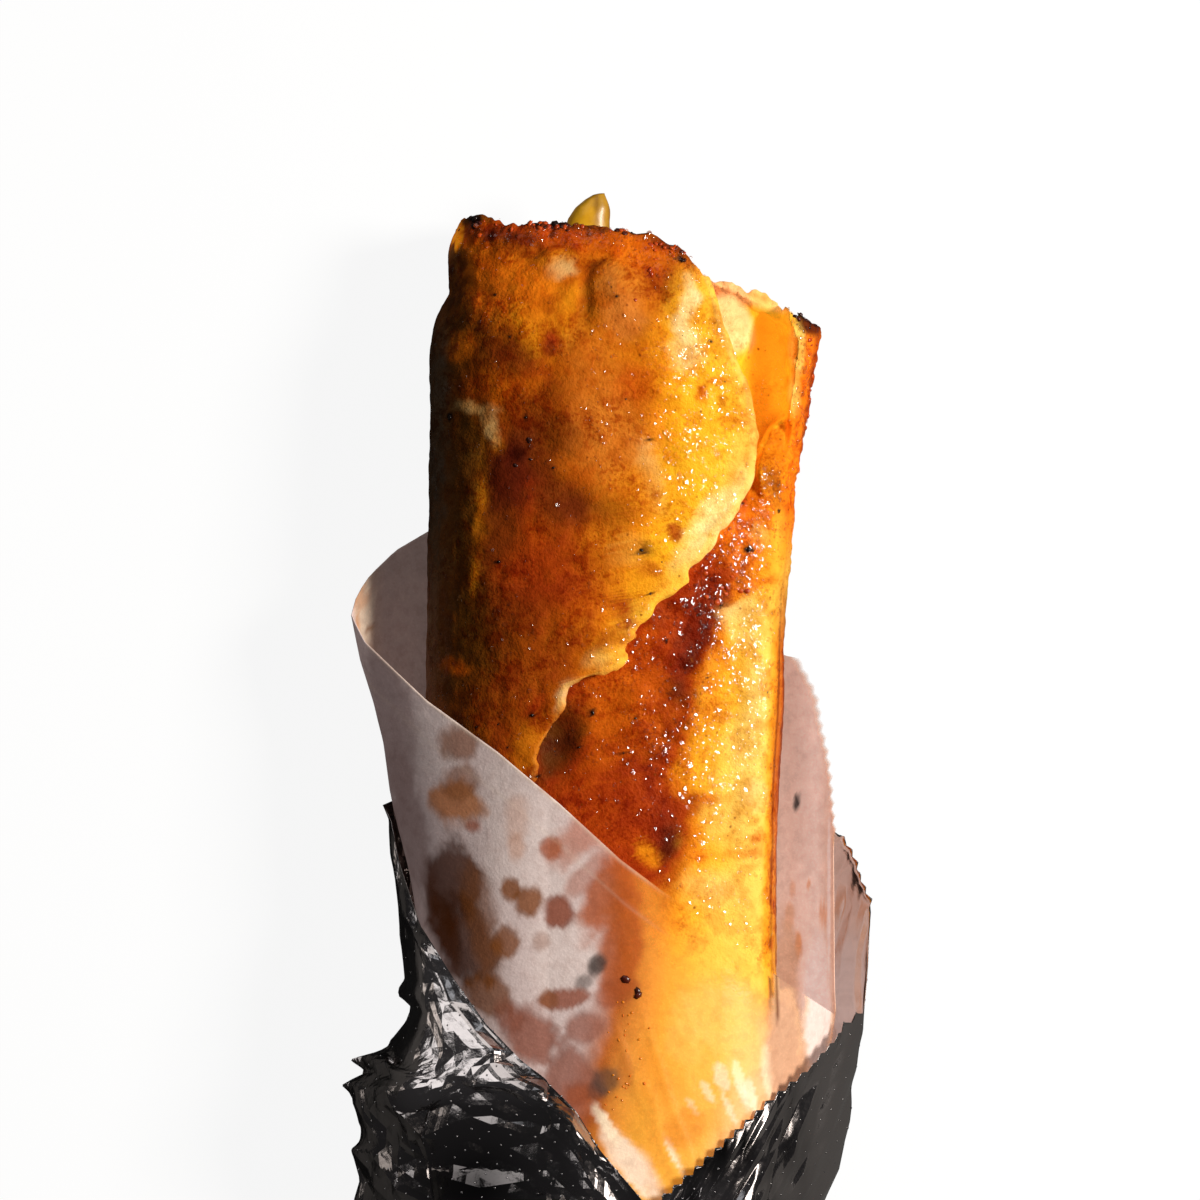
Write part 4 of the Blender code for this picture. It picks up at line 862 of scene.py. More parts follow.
def make_lumps(grid, normal, chance):
    """Toasted and charred lumps and black flecks, each kind joined in one mesh."""
    for k, (name, runs, dark, light, span, rise) in enumerate(LUMP_KINDS):
        picks = pick_near(grid, runs, chance, 0.6 if span else 0)
        count = len(picks)
        radius = np.array([0.55 * np.sqrt(wide * tall) for _, _, wide, tall, _ in runs])
        if span:
            radius = span[0] + span[1] * chance.random(count) ** 1.5
        sizes = np.stack([radius, chance.uniform(0.55, 1, count), radius * rise], axis=1)
        colour = dark + (light - dark) * chance.random((count, 1))
        lumps = join_domes(name, grid[picks], normal[picks], sizes, colour, "bread", 0.28, 307 + k)
        lumps.data.materials.append(lump_material())


def scatter_on_crust(grid, normal, tones, part, glow):
    """Beads, lumps and flecks on the crust that faces up outside the paper."""
    chance = np.random.default_rng(301)
    bare = under_paper(grid[..., 0], grid[..., 1]) < 0.1
    shown = (part < BELOW) & (normal[..., 2] > 0.2) & bare
    grid, normal = grid[shown], normal[shown]
    make_beads(grid, normal, tones[shown], glow[shown], chance)
    make_lumps(grid, normal, chance)


ROLL_MIDDLE_Z = 18.0


def roll_surface():
    """Rings of the roll with their relief and a ragged lip, the part that each point
    belongs to, and 1 or -1 for the side that the grid's normals point to."""
    rings = round_end(roll_rings())
    counts = (FLAP_POINTS, RIM_POINTS, UNDER_POINTS, BELOW_POINTS)
    part = np.repeat(np.arange(4), counts)[None, :] + np.zeros((len(rings), 1), int)
    front = np.where(part < BELOW, 1.0, 0.0)
    normal = grid_normals(rings)
    outward = np.sign((normal[..., 2] * (rings[..., 2] - ROLL_MIDDLE_Z)).sum())
    relief = roll_relief(rings, front, part) * ease(rings[..., 2], 1, 4)
    rings = rings + outward * normal * relief[..., None]
    ragged = clouds(rings, 1.6, 71, 2) + 0.6 * clouds(rings, 4, 73, 1)
    lip = np.linspace(0, 1, len(rings))[:, None] ** 40
    rings[..., 1] += 1.1 * ragged * lip * front
    rings[..., 2] = np.maximum(rings[..., 2], 0)
    return rings, part, outward


def mouth_tones(mouth):
    """Plain bread inside the mouth, mottled by clouds, with painted shade that darkens it to half
    at its floor.
    """
    fade = np.linspace(0, 1, len(mouth))[:, None, None]
    # painted shade, darker deeper into the mouth
    inside = srgb(214, 160, 88) * (1 - 0.5 * fade) + 0 * mouth
    inside *= 1 + 0.35 * clouds(mouth, 2, 61, 2)[..., None]
    return np.clip(inside, 0, 1)


def make_roll():
    """The roll: a closing tip, the rings from the closed end to the lip, then the
    rings into the mouth."""
    rings, part, outward = roll_surface()
    tones = roll_tones(rings, part)
    wet, glow = wetness(rings, part), through_light(rings, part)
    scatter_on_crust(rings, outward * grid_normals(rings), tones, part, glow)
    brown = 1 - 0.7 * ease(tones[..., 1], 0.16, 0.42)
    mouth = mouth_rings(rings[-1])
    middle = rings[:1].mean(axis=1, keepdims=True)
    tip = middle + (rings[:1] - middle[0]) * 0.02
    grid = np.concatenate([tip, rings, mouth])
    tones = np.concatenate([tones[:1], tones, mouth_tones(mouth)])
    plain = np.ones(mouth.shape[:2])
    masks = {
        "wet": np.concatenate([wet[:1], wet, 0.25 * plain]),
        "glow": np.concatenate([glow[:1], glow, 0 * plain]),
        "brown": np.concatenate([brown[:1], brown, plain]),
    }
    quads = grid_faces(*grid.shape[:2], flip=outward < 0)
    item = build_mesh("flatbread_roll", grid.reshape(-1, 3), quads, "bread",
                      tones.reshape(-1, 3), masks)
    item.data.materials.append(crust_material())


# ---- pickle slice
# Right side, middle height, power of the superellipse, length and y of the tip; then
# rings as y, left x and half thickness.
PICKLE_RIGHT = 0.9
PICKLE_Z = 16.6
PICKLE_POWER = 2.4
PICKLE_LENGTH = 40.0
PICKLE_TIP_Y = 122.0
PICKLE_RINGS = (
    (82, -7.2, 2.6), (84, -7.8, 3), (98, -7.9, 3.1), (110, -7.9, 3.1), (114.8, -7.6, 3.1),
    (117.4, -6.7, 2.9), (119.4, -5.3, 2.6), (120.9, -3.6, 2.1), (121.7, -2.2, 1.6),
    (121.95, -1.2, 0.9), (122, -0.5, 0.3),
)
PICKLE_SIDES = 64
# Colours from the skin at the left to the cut face at the right, by x.
PICKLE_TONES = (
    (-8, (176, 122, 16)), (-5, (200, 146, 14)), (-2.4, (196, 142, 16)), (-1.4, (150, 104, 16)),
    (-1, (172, 126, 30)), (0.3, (168, 122, 28)), (0.9, (140, 94, 20)),
)


def make_pickle():
    """Pickle slice: superellipse rings along y, closer together near the tip, where the
    right side draws in, and uneven by a cloud."""
    level = PICKLE_TIP_Y - PICKLE_LENGTH * np.linspace(1, 0, 90) ** 1.6
    stations = np.array(PICKLE_RINGS).T
    left = np.interp(level, stations[0], stations[1])[:, None]
    thick = np.interp(level, stations[0], stations[2])[:, None]
    angle = np.linspace(0, 2 * np.pi, PICKLE_SIDES, endpoint=False)[None, :]
    right = PICKLE_RIGHT - 1.0 * ease(level, 118.6, 122.4)[:, None]
    wide = np.sign(np.cos(angle)) * np.abs(np.cos(angle)) ** (2 / PICKLE_POWER)
    high = np.sign(np.sin(angle)) * np.abs(np.sin(angle)) ** (2 / PICKLE_POWER)
    x = (left + right) / 2 + (right - left) / 2 * wide
    y = level[:, None] + 0 * x
    grid = np.stack([x, y, PICKLE_Z + thick * high], axis=2)
    normal = grid_normals(grid)
    outward = np.sign((normal[..., 2] * (grid[..., 2] - PICKLE_Z)).sum())
    grid += outward * normal * (0.16 * clouds(grid, 3, 81, 2))[..., None]
    tip = grid[-1:].mean(axis=1, keepdims=True) + 0 * grid[-1:]
    end = grid[:1].mean(axis=1, keepdims=True) + 0 * grid[:1]
    grid = np.concatenate([end, grid, tip])
    tone = gradient(PICKLE_TONES, grid[..., 0])
    tone *= 1 + 0.18 * clouds(grid, 1.5, 83, 2)[..., None]
    quads = grid_faces(*grid.shape[:2], flip=outward < 0)
    item = build_mesh("pickle_slice", grid.reshape(-1, 3), quads, "pickle",
                      np.clip(tone, 0.002, 1).reshape(-1, 3))
    item.data.materials.append(pickle_material())


# ---- wrappers
# Height of each sheet's flat strip and its room from the roll; then the gaps from paper
# to foil in front and behind, and the most that they may grow to on a slope.
PAPER_BASE = 1.3
PAPER_ROOM = 0.8
FOIL_BASE = 0.25
FOIL_ROOM = 1.85
NEST_FRONT = 1.2
NEST_BACK = 1.05
MOST_LIFT = 3.0
# Where sheets leave the roll's front and their flat strip, left and right: an x, or a
# share of the side fold's x where that is nearer.
FLAT_SHARE = 0.6
TANGENT = (-10.0, 20.0)
TANGENT_SHARES = (0.4, 0.6)
# Bend of a side fold where it hugs the roll and where it flares out in full, that far
# off it; then the step in x that slopes are measured over.
HUG_POWER = 2.3
FLARE_POWER = 1.4
FLARE_FULL = 9.0
SLOPE_STEP = 0.2
# Heights of the side folds, and of the flat strip above its base, by y.
FOLD_LEFT_Z = (
    (-108, 2.6), (-95, 9), (-85, 13), (-75, 15.5), (-60, 17), (-20, 17.5), (10, 18.5), (45, 20),
)
FOLD_RIGHT_Z = (
    (-108, 2.6), (-95, 8), (-85, 10.5), (-70, 11.5), (-45, 12), (-26, 12.5), (0, 13.5), (38, 15),
)
END_RISE = ((-108, 1.2), (-88, 0))
# Paper: side folds as (y, x), then its edges as (x, y) seen from above.
PAPER_LEFT = (
    (-108, -21), (-89, -28.6), (-75, -31.9), (-60, -33), (-20, -33.4), (-7.2, -33.8), (0, -35.1),
    (7.2, -36.9), (14.4, -38.3), (23.4, -39.6), (30.6, -41.4), (37.8, -43.7), (45.9, -45.4),
)
PAPER_RIGHT = (
    (-108, 18.5), (-89, 26.8), (-75, 31), (-59, 35), (-45, 38), (-26, 41.5), (0, 41.5), (6.1, 41.2),
    (10.4, 40.9), (16.4, 40.5), (21.1, 39.8), (25.9, 38.7), (30.8, 38), (33.1, 37.1), (35.6, 35.8),
    (38, 34.4),
)
PAPER_FRONT_EDGE = (
    (-45.4, 45.9), (-43, 41.2), (-31.5, 30.6), (-18.9, 21.6), (-8.1, 12.6), (2.7, 2.7), (9.9, -2.7),
    (15.3, -6.3), (30.6, -18.5), (41.5, -26.5),
)
PAPER_SIDE_EDGE = ((41.5, -26.5), (41.2, 6.1))
PAPER_CUT_EDGE = (
    (41.2, 6.1), (40.9, 10.4), (40.5, 16.4), (39.8, 21.1), (38.7, 25.9), (38, 30.8), (37.1, 33.1),
    (35.8, 35.6), (34.4, 38),
)
PAPER_BACK_EDGE = (
    (34.4, 38), (0, 50), (-31.9, 61.2), (-37.8, 57.6), (-42.3, 53.1), (-44.6, 49.5), (-45.4, 45.9),
)
PAPER_END_Y = -89.0
# Sides of a sheet: left and right folds, how far below the common heights its folds are,
# and where its flat strip ends.
PAPER_SIDES = (PAPER_LEFT, PAPER_RIGHT, 0, (-19.0, 21.0))
# Foil: the same.
FOIL_LEFT = (
    (-108, -22.5), (-90, -33), (-75, -41), (-59.4, -44.8), (-41, -45.6), (-36, -43), (-31.5, -37.5),
    (-19.8, -35.6), (-10.8, -36.4), (1.8, -37.4), (11.7, -39.2),
)
FOIL_RIGHT = (
    (-108, 20), (-85, 32), (-70, 37), (-59.4, 40), (-54.9, 41.4), (-50.4, 42.7), (-43.2, 44.1),
    (-32.4, 45.4), (-26.1, 46.3), (-18.9, 47), (-15.5, 47.3), (-11, 47.9), (-6.8, 47.7), (-4.9, 47),
    (-3.1, 46.3), (-1.1, 45.5), (1.1, 45), (3.1, 43.9), (6.1, 42.4),
)
FOIL_LEFT_EDGE = (
    (-39.2, 11.7), (-37.5, 6), (-36, 0.2), (-32, -10.1), (-26.6, -18.9), (-21, -26.3),
    (-14.8, -32.4), (-8.6, -38), (-5.2, -41.6), (-0.9, -48.6), (8.1, -59.4),
)
FOIL_CUT_FRONT = ((8.1, -59.4), (46.3, -26.1))
FOIL_SIDE_EDGE = ((46.3, -26.1), (47, -18.9), (47.7, -6.8))
FOIL_CUT_BACK = ((47.7, -6.8), (46.3, -3.1), (45, 1.1), (42.4, 6.1))
FOIL_BACK_EDGE = ((42.4, 6.1), (22, 17), (0, 22), (-22, 18), (-39.2, 11.7))
FOIL_END_Y = -108.0
FOIL_SIDES = (FOIL_LEFT, FOIL_RIGHT, 1.0, (-23.0, 24.0))
# Saw teeth: height in mm, and grid points to a tooth.
TOOTH = 1.0
TOOTH_POINTS = 6


def flare_power(gap):
    """Bend of a side fold: round where it hugs the roll, flatter the further off."""
    return HUG_POWER - (HUG_POWER - FLARE_POWER) * np.clip(gap / FLARE_FULL, 0, 1)


def fold_heights(y, sides):
    """z of the left and right folds of a sheet."""
    left, right = smooth_table(FOLD_LEFT_Z, y), smooth_table(FOLD_RIGHT_Z, y)
    return left - sides[2], right - sides[2]


def roof_height(x, y, room):
    """z of the roll's own superellipse front, one room away."""
    centre, half, middle, rise, _ = roll_frame(y)
    power = np.where(x < centre, POWER_LEFT, POWER_RIGHT)
    return middle + (rise + room) * arch((x - centre) / (half + room), power)


def front_height(x, y, sides, room):
    """z of a front sheet: the roll's front plus room, or higher, an arch that
    springs from each side fold and lands on the roll's front."""
    centre, half = roll_frame(y)[:2]
    height = np.where(np.abs(x - centre) < half + room, roof_height(x, y, room), 0)
    folds = fold_heights(y, sides)
    for k, turn in ((0, -1), (1, 1)):
        fold_x = straight_table(sides[k], y)
        touch = turn * np.minimum(turn * TANGENT[k], TANGENT_SHARES[k] * turn * fold_x)
        share = np.clip((x - touch) / (fold_x - touch), 0, 1)
        power = flare_power(turn * (fold_x - centre) - half)
        top = roof_height(touch, y, room)
        tent = folds[k] + (top - folds[k]) * arch(share, power)
        height = np.where(share > 0, np.maximum(height, tent), height)
    return height


def back_height(x, y, sides, base, room):
    """z of a back sheet: flat below the roll, then rising on an arch to each fold."""
    centre, half, middle, _, fall = roll_frame(y)
    floor = base + smooth_table(END_RISE, y)
    height = floor + 0 * x
    folds = fold_heights(y, sides)
    for k, turn in ((0, -1), (1, 1)):
        fold_x = straight_table(sides[k], y)
        flat = turn * np.minimum(turn * sides[3][k], FLAT_SHARE * turn * fold_x)
        share = np.clip((x - flat) / (fold_x - flat), 0, 1)
        power = flare_power(turn * (fold_x - centre) - half)
        height += (folds[k] - floor) * (1 - arch(share, power))
    under = middle - (fall + room) * arch((x - centre) / (half + room), POWER_UNDER)
    near = np.abs(x - centre) < half + room
    return np.where(near, np.minimum(height, np.maximum(under, floor)), height)


def clear_of(height_at, x, y, gap):
    """Height one gap away from another sheet, measured square to its slope:
    h + gap * sqrt(1 + slope^2)."""
    ahead, behind = height_at(x + SLOPE_STEP, y), height_at(x - SLOPE_STEP, y)
    slope = (ahead - behind) / (2 * SLOPE_STEP)
    return height_at(x, y) + np.clip(gap * np.sqrt(1 + slope**2), -MOST_LIFT, MOST_LIFT)


def paper_front(x, y):
    """z of the paper's front."""
    return front_height(x, y, PAPER_SIDES, PAPER_ROOM)


def paper_back(x, y):
    """z of the paper's back."""
    return back_height(x, y, PAPER_SIDES, PAPER_BASE, PAPER_ROOM)


def in_paper(x, y):
    """True between the paper's side folds, one slope step in."""
    left, right = straight_table(PAPER_LEFT, y), straight_table(PAPER_RIGHT, y)
    return (x > left + SLOPE_STEP) & (x < right - SLOPE_STEP)


def foil_front(x, y):
    """z of the foil's front: its own arch, kept above the paper's."""
    own = front_height(x, y, FOIL_SIDES, FOIL_ROOM)
    over = clear_of(paper_front, x, y, NEST_FRONT)
    return np.where(in_paper(x, y), np.maximum(own, over), own)


def foil_back(x, y):
    """z of the foil's back: its own, kept below the paper's and above the floor."""
    own = back_height(x, y, FOIL_SIDES, FOIL_BASE, FOIL_ROOM)
    under = np.maximum(clear_of(paper_back, x, y, -NEST_BACK), FOIL_BASE)
    return np.where(in_paper(x, y), np.minimum(own, under), own)


def resample(line, count, rise=1.0):
    """Points along a line of points, its last one left out, evenly spaced by a length
    that counts steps in y by their rise share."""
    line = np.array(line, float)
    along = np.concatenate([[0], np.cumsum(np.hypot(*(np.diff(line, axis=0) * (1, rise)).T))])
    at = np.linspace(0, along[-1], count, endpoint=False)
    return np.stack([np.interp(at, along, line[:, 0]), np.interp(at, along, line[:, 1])])


def turn_of(x, y, sides, front):
    """Position round the sheet, 0 left fold, 1 right fold, 2 left fold again."""
    left, right = straight_table(sides[0], y), straight_table(sides[1], y)
    share = np.clip((x - left) / (right - left), 0, 1)
    if front:
        return np.arccos(1 - 2 * share) / np.pi
    return 1 + np.arcsin(1 - share) * 2 / np.pi


def sheet_edge(runs, sides):
    """Top edge of a sheet: position round it, y, saw teeth, position at its end."""
    turns, levels, teeth = [], [], []
    for line, count, front, tooth in runs:
        x, y = resample(line, count, 1 if tooth else 0.45)
        turns.append(turn_of(x, y, sides, front))
        levels.append(y)
        phase = np.arange(count) % TOOTH_POINTS / TOOTH_POINTS
        teeth.append(tooth * (1 - np.abs(2 * phase - 1)))
    turns, levels = np.concatenate(turns), np.concatenate(levels)
    back = np.concatenate([[not front] * count for _, count, front, _ in runs])
    spread = np.cumsum(back) - 1
    ends = np.where(back, 1 + spread / back.sum(), turns)
    return turns, levels, np.concatenate(teeth), ends


def sheet_grid(edge, end_y, sides, heights, rows, power):
    """Middle surface of a sheet, in columns from its top edge to its end: x runs
    between the folds as (1 - cos(pi turn)) / 2 on the front and 1 - sin on the
    back, y as a power of the row, z from the height formulas."""
    turns, levels, _, ends = edge
    row = np.linspace(0, 1, rows)[:, None]
    turn = turns + (ends - turns) * (1 - (1 - row) ** 2)
    y = levels + (end_y - levels) * row**power
    ahead = (1 - np.cos(np.pi * turn)) / 2
    behind = 1 - np.sin(np.pi * (turn - 1) / 2)
    left, right = straight_table(sides[0], y), straight_table(sides[1], y)
    x = left + (right - left) * np.where(turn <= 1, ahead, behind)
    z = np.where(turn <= 1, heights[0](x, y), heights[1](x, y))
    return np.stack([x, y, z], axis=2), turn


def outward_normals(grid):
    """Unit normals turned away from the sheet's middle height."""
    normal = grid_normals(grid)
    middle = grid[..., 2].mean()
    return normal * np.sign((normal[..., 2] * (grid[..., 2] - middle)).sum())


def add_teeth(grid, teeth):
    """Push the top edge out within the sheet along a saw wave: the first row fully, the
    next two by the shares that follow."""
    tangent = np.roll(grid[0], -3, axis=0) - np.roll(grid[0], 3, axis=0)
    tangent /= np.linalg.norm(tangent, axis=1, keepdims=True)
    out = grid[0] - grid[3]
    out -= tangent * (out * tangent).sum(axis=1, keepdims=True)
    out /= np.linalg.norm(out, axis=1, keepdims=True)
    for row, share in enumerate((1, 0.6, 0.25)):
        grid[row] += out * teeth[:, None] * share


def sheet_mesh(name, grid, thick, slot, tones, masks, creased=None):
    """Closed thin sheet: the grid moved half a thickness to each side, its top and
    bottom edges joined, in triangles; the creased faces are shaded flat."""
    rows, count = grid.shape[:2]
    offset = outward_normals(grid) * thick / 2
    points = np.concatenate([grid + offset, grid - offset]).reshape(-1, 3)
    inner = rows * count
    side = np.arange(count)
    beside = (side + 1) % count
    last = (rows - 1) * count
    top = np.stack([beside, side, side + inner, beside + inner], axis=1)
    end = top[:, ::-1] + last
    quads = np.concatenate([
        grid_faces(rows, count), grid_faces(rows, count, first=inner, flip=True), top, end,
    ])
    outer = points[quads[:inner - count]]
    square = np.cross(outer[:, 1] - outer[:, 0], outer[:, 3] - outer[:, 0])
    if (square * offset[:-1].reshape(-1, 3)).sum() < 0:
        quads = quads[:, [0, 3, 2, 1]]
    creased = np.zeros((rows - 1, count), bool) if creased is None else creased
    smooth = np.concatenate([~creased.ravel(), ~creased.ravel(), np.ones(2 * count, bool)])
    faces = np.concatenate([quads[:, [0, 1, 3]], quads[:, [1, 2, 3]]])
    twice = {key: np.concatenate([value, value]) for key, value in masks.items()}
    tones = np.concatenate([tones, tones]).reshape(-1, 3)
    return build_mesh(name, points, faces, slot, tones, twice, np.tile(smooth, 2))


# Greaseproof paper: stain colours, then stains as colour, x, y, radii, turn, share,
# softness, and how clear the grease makes the paper there. The 'mauve' spots are painted shade at
# the left fold, and the 'white' spot on the right flare is painted light.
STAIN = {
    "brown": srgb(156, 90, 40), "dark": srgb(104, 50, 14), "ochre": srgb(200, 98, 34),
    "amber": srgb(212, 128, 50), "rose": srgb(170, 98, 74), "soot": srgb(70, 58, 54),
    "rust": srgb(186, 90, 40), "white": srgb(232, 214, 208), "orange": srgb(236, 150, 44),
    "cream": srgb(250, 226, 200), "shard": srgb(255, 234, 200), "sunny": srgb(255, 212, 110),
    "wood": srgb(204, 156, 124), "mauve": srgb(176, 146, 142),
}
# Stains with a darker ring.
RINGED = ("brown", "amber", "rose", "rust", "dark")
PAPER_SPOTS = (
    ("white", -30, 24, 5, 8, 0, 0.5, 0.6, 0), ("white", -14, 14, 8, 8, 0, 0.5, 0.6, 0),
    ("white", -12, 2, 10, 7, 0, 0.5, 0.6, 0), ("white", -7, -14, 7, 8, 0, 0.6, 0.6, 0),
    # the two mauve spots are painted shade at the left fold
    ("mauve", -38, 28, 3.6, 20, 8, 0.6, 0.5, 0.1), ("mauve", -34.5, 8, 2.6, 16, 12, 0.7, 0.5, 0.1),
    ("brown", -26, 23, 3.4, 3, -30, 0.7, 0.5, 0.3),
    ("amber", -26, 12.4, 5, 3.8, -10, 0.8, 0.45, 0.4),
    ("brown", -25.6, 16, 3.4, 3.4, 0, 0.6, 0.5, 0.3),
    ("rust", -23.4, 8.6, 1.4, 1.2, 0, 0.7, 0.6, 0.2),
    ("dark", -27, -2, 5.4, 7.2, 0, 0.85, 0.4, 0.4), ("dark", -25, -12, 5.4, 8, 20, 0.85, 0.4, 0.4),
    ("brown", -22, -8, 3, 10, 10, 0.6, 0.6, 0.3), ("dark", -29, -9, 2.4, 7, 20, 0.8, 0.5, 0.3),
    ("brown", -16.8, -2.8, 1.8, 2, 0, 0.9, 0.35, 0.3),
    ("brown", -13.6, -4.8, 2.6, 2.8, 0, 0.9, 0.35, 0.3),
    ("rose", -8.2, -6.8, 2.9, 2.6, -10, 0.95, 0.35, 0.4),
    ("brown", -17.6, -12, 2.6, 2.8, 0, 0.85, 0.4, 0.3),
    ("brown", -11.4, -12, 1.6, 1.6, 0, 0.4, 0.6, 0.2),
    ("rust", -9.4, 4.8, 1.9, 1.9, 0, 0.75, 0.45, 0.3),
    ("amber", -15.6, 4.6, 1.7, 2.4, 0, 0.35, 0.6, 0.2),
    ("amber", -15.6, 10, 2.2, 4, 0, 0.25, 0.7, 0.2),
    ("rust", -10, 16, 3.6, 1.6, -40, 0.5, 0.6, 0.4), ("ochre", -3, 8, 3.4, 8, -48, 0.55, 0.6, 0.5),
    ("ochre", 1, -3, 3.6, 9, -30, 0.85, 0.5, 0.5), ("ochre", 3, -13, 3.6, 10, -8, 0.85, 0.5, 0.5),
    ("rust", -3, 0, 2, 5, -40, 0.5, 0.6, 0.4), ("soot", -1.6, -16.2, 1.5, 2.2, -40, 0.9, 0.5, 0.2),
    ("soot", -3.8, -19, 1.8, 1.4, 30, 0.6, 0.6, 0.2),
    ("rose", -7, -22, 4.6, 1.8, 10, 0.9, 0.4, 0.3),
    ("brown", -10, -22.2, 1.6, 1.6, 0, 0.6, 0.5, 0.3),
    ("rose", -3.6, -27, 3.4, 3, 20, 0.75, 0.5, 0.4), ("rust", 2, -21, 4, 2.4, 20, 0.6, 0.5, 0.5),
    ("brown", -20.6, -21.5, 4.4, 3.4, -40, 0.8, 0.4, 0.4),
    ("rose", -13, -29, 5.4, 4.4, -40, 0.85, 0.5, 0.4),
    ("rose", -6.4, -36, 5, 5, -45, 0.8, 0.5, 0.4), ("rose", -17, -25, 3, 2.4, -40, 0.6, 0.5, 0.4),
    ("rust", -4, -41, 4, 3.6, -50, 0.7, 0.5, 0.5), ("soot", 0.4, -36, 2.4, 2.4, 0, 0.7, 0.6, 0.2),
    ("soot", -1.4, -38.2, 1.6, 1.6, 0, 0.5, 0.6, 0.2),
    ("amber", 3.6, -35, 1.4, 3.6, 0, 0.7, 0.6, 0.5),
    ("cream", 3.4, -50, 2.4, 7.4, 34, 0.85, 0.4, 0.2),
    ("cream", -0.6, -43.4, 1, 3, 30, 0.7, 0.5, 0.2),
    ("cream", 8.6, -54, 1.2, 5.4, 24, 0.5, 0.6, 0.4),
    ("cream", 12.4, -50, 0.6, 4.6, 26, 0.55, 0.6, 0.4),
    ("shard", 24, -37, 0.9, 5.2, 16, 0.9, 0.2, 0.3),
    ("shard", 20.6, -35.8, 1.3, 2.8, 14, 0.7, 0.25, 0.3),
    ("shard", 26.2, -40, 0.7, 3.6, 10, 0.8, 0.2, 0.3),
    ("shard", 18.2, -38.6, 0.7, 2.4, 30, 0.6, 0.3, 0.3),
    ("shard", 22, -41.5, 0.6, 3, 24, 0.7, 0.2, 0.3), ("shard", 28.8, -35, 1, 5, 4, 0.6, 0.3, 0.3),
    ("shard", 15.4, -41, 0.5, 2, 34, 0.5, 0.3, 0.3), ("shard", 1.4, -46, 1, 5.5, 32, 0.8, 0.2, 0.2),
    ("shard", 5.4, -54.6, 0.9, 3.4, 36, 0.8, 0.2, 0.2),
    ("shard", 11.8, -49.6, 0.4, 3.4, 26, 0.8, 0.2, 0.3), ("sunny", 20, -25, 7, 6, 0, 0.5, 0.6, 0.6),
    ("sunny", 24, -31, 4, 5, 0, 0.4, 0.6, 0.6), ("orange", 14, -45, 5, 3.4, 20, 0.6, 0.6, 0.6),
    ("orange", 9, -36, 3, 6, 20, 0.4, 0.6, 0.6), ("orange", 26, -45, 2, 2.4, 20, 0.5, 0.6, 0.6),
    ("sunny", 14, -30, 3, 5, 30, 0.35, 0.6, 0.6), ("wood", 31.8, -31, 3, 9, 0, 0.9, 0.4, 0.2),
    # the white spot at x 38.4 is painted light on the lit right flare
    ("white", 38.4, -28, 2.6, 10, 0, 0.9, 0.35, 0.1), ("wood", 35.2, -36, 1.2, 4, 0, 0.6, 0.5, 0.2),
    ("dark", 30.6, -21, 0.3, 6.4, 0, 0.9, 0.5, 0.1), ("cream", 5.4, -52, 2.4, 6, 34, 0.7, 0.4, 0.3),
)
# Spots of the back sheet's inner side: colour, x, y, radii, share. Its 'white' strips at the right
# and its 'cream' strip at the far left are painted light.
BACK_SPOTS = (
    ("soot", 34.9, 12, 0.6, 1.5, 1), ("amber", 39.6, -8.4, 0.8, 1.8, 0.5),
    ("amber", 35.2, -14, 0.7, 2.2, 0.7), ("amber", 39.2, -16, 0.8, 0.8, 0.7),
    ("amber", 33.6, -9, 0.9, 2.6, 0.35), ("wood", 33, -24, 2.4, 16, 0.8),
    # the two white strips on this line are painted light on the right
    ("white", 38.6, -24, 2.4, 11, 0.9), ("white", 40.6, -4, 0.3, 14, 0.8),
    ("amber", 34.2, -4, 0.5, 1.4, 0.35), ("amber", 37, -3, 0.4, 0.7, 0.6),
    # the cream strip at x -43.4 is painted light on the lit left wedge
    ("cream", -43.4, 46.5, 1.6, 6, 0.8), ("amber", -44, 49, 1.2, 2.4, 0.5),
    ("brown", -42.6, 43.4, 0.7, 0.9, 0.7), ("amber", -44.6, 44, 0.7, 1.4, 0.6),
)
# Greasy paper by distance past its slanting line; the sheet's inner side by x, darker at the left
# as painted shade and palest by the right fold as painted light.
PAPER_WET_TONES = (
    (-4, (196, 104, 56)), (3, (222, 124, 50)), (8, (252, 172, 66)), (12, (255, 188, 66)),
    (24, (255, 200, 84)), (32, (250, 200, 150)),
)
PAPER_BACK_TONES = (
    (-45, (196, 156, 128)), (-40, (178, 150, 142)), (-30, (176, 150, 142)), (20, (216, 182, 164)),
    (34, (220, 184, 168)), (38.5, (234, 208, 196)), (42, (212, 170, 146)),
)
PAPER_WHITE = srgb(226, 204, 200)
PAPER_BACK_CLEAR = 0.08


def past_slant(x, y):
    """Distance past the line where grease has soaked the paper: upright, and below
    y = -20 leaning by a quarter."""
    return x + 0.25 * np.maximum(-20 - y, 0)


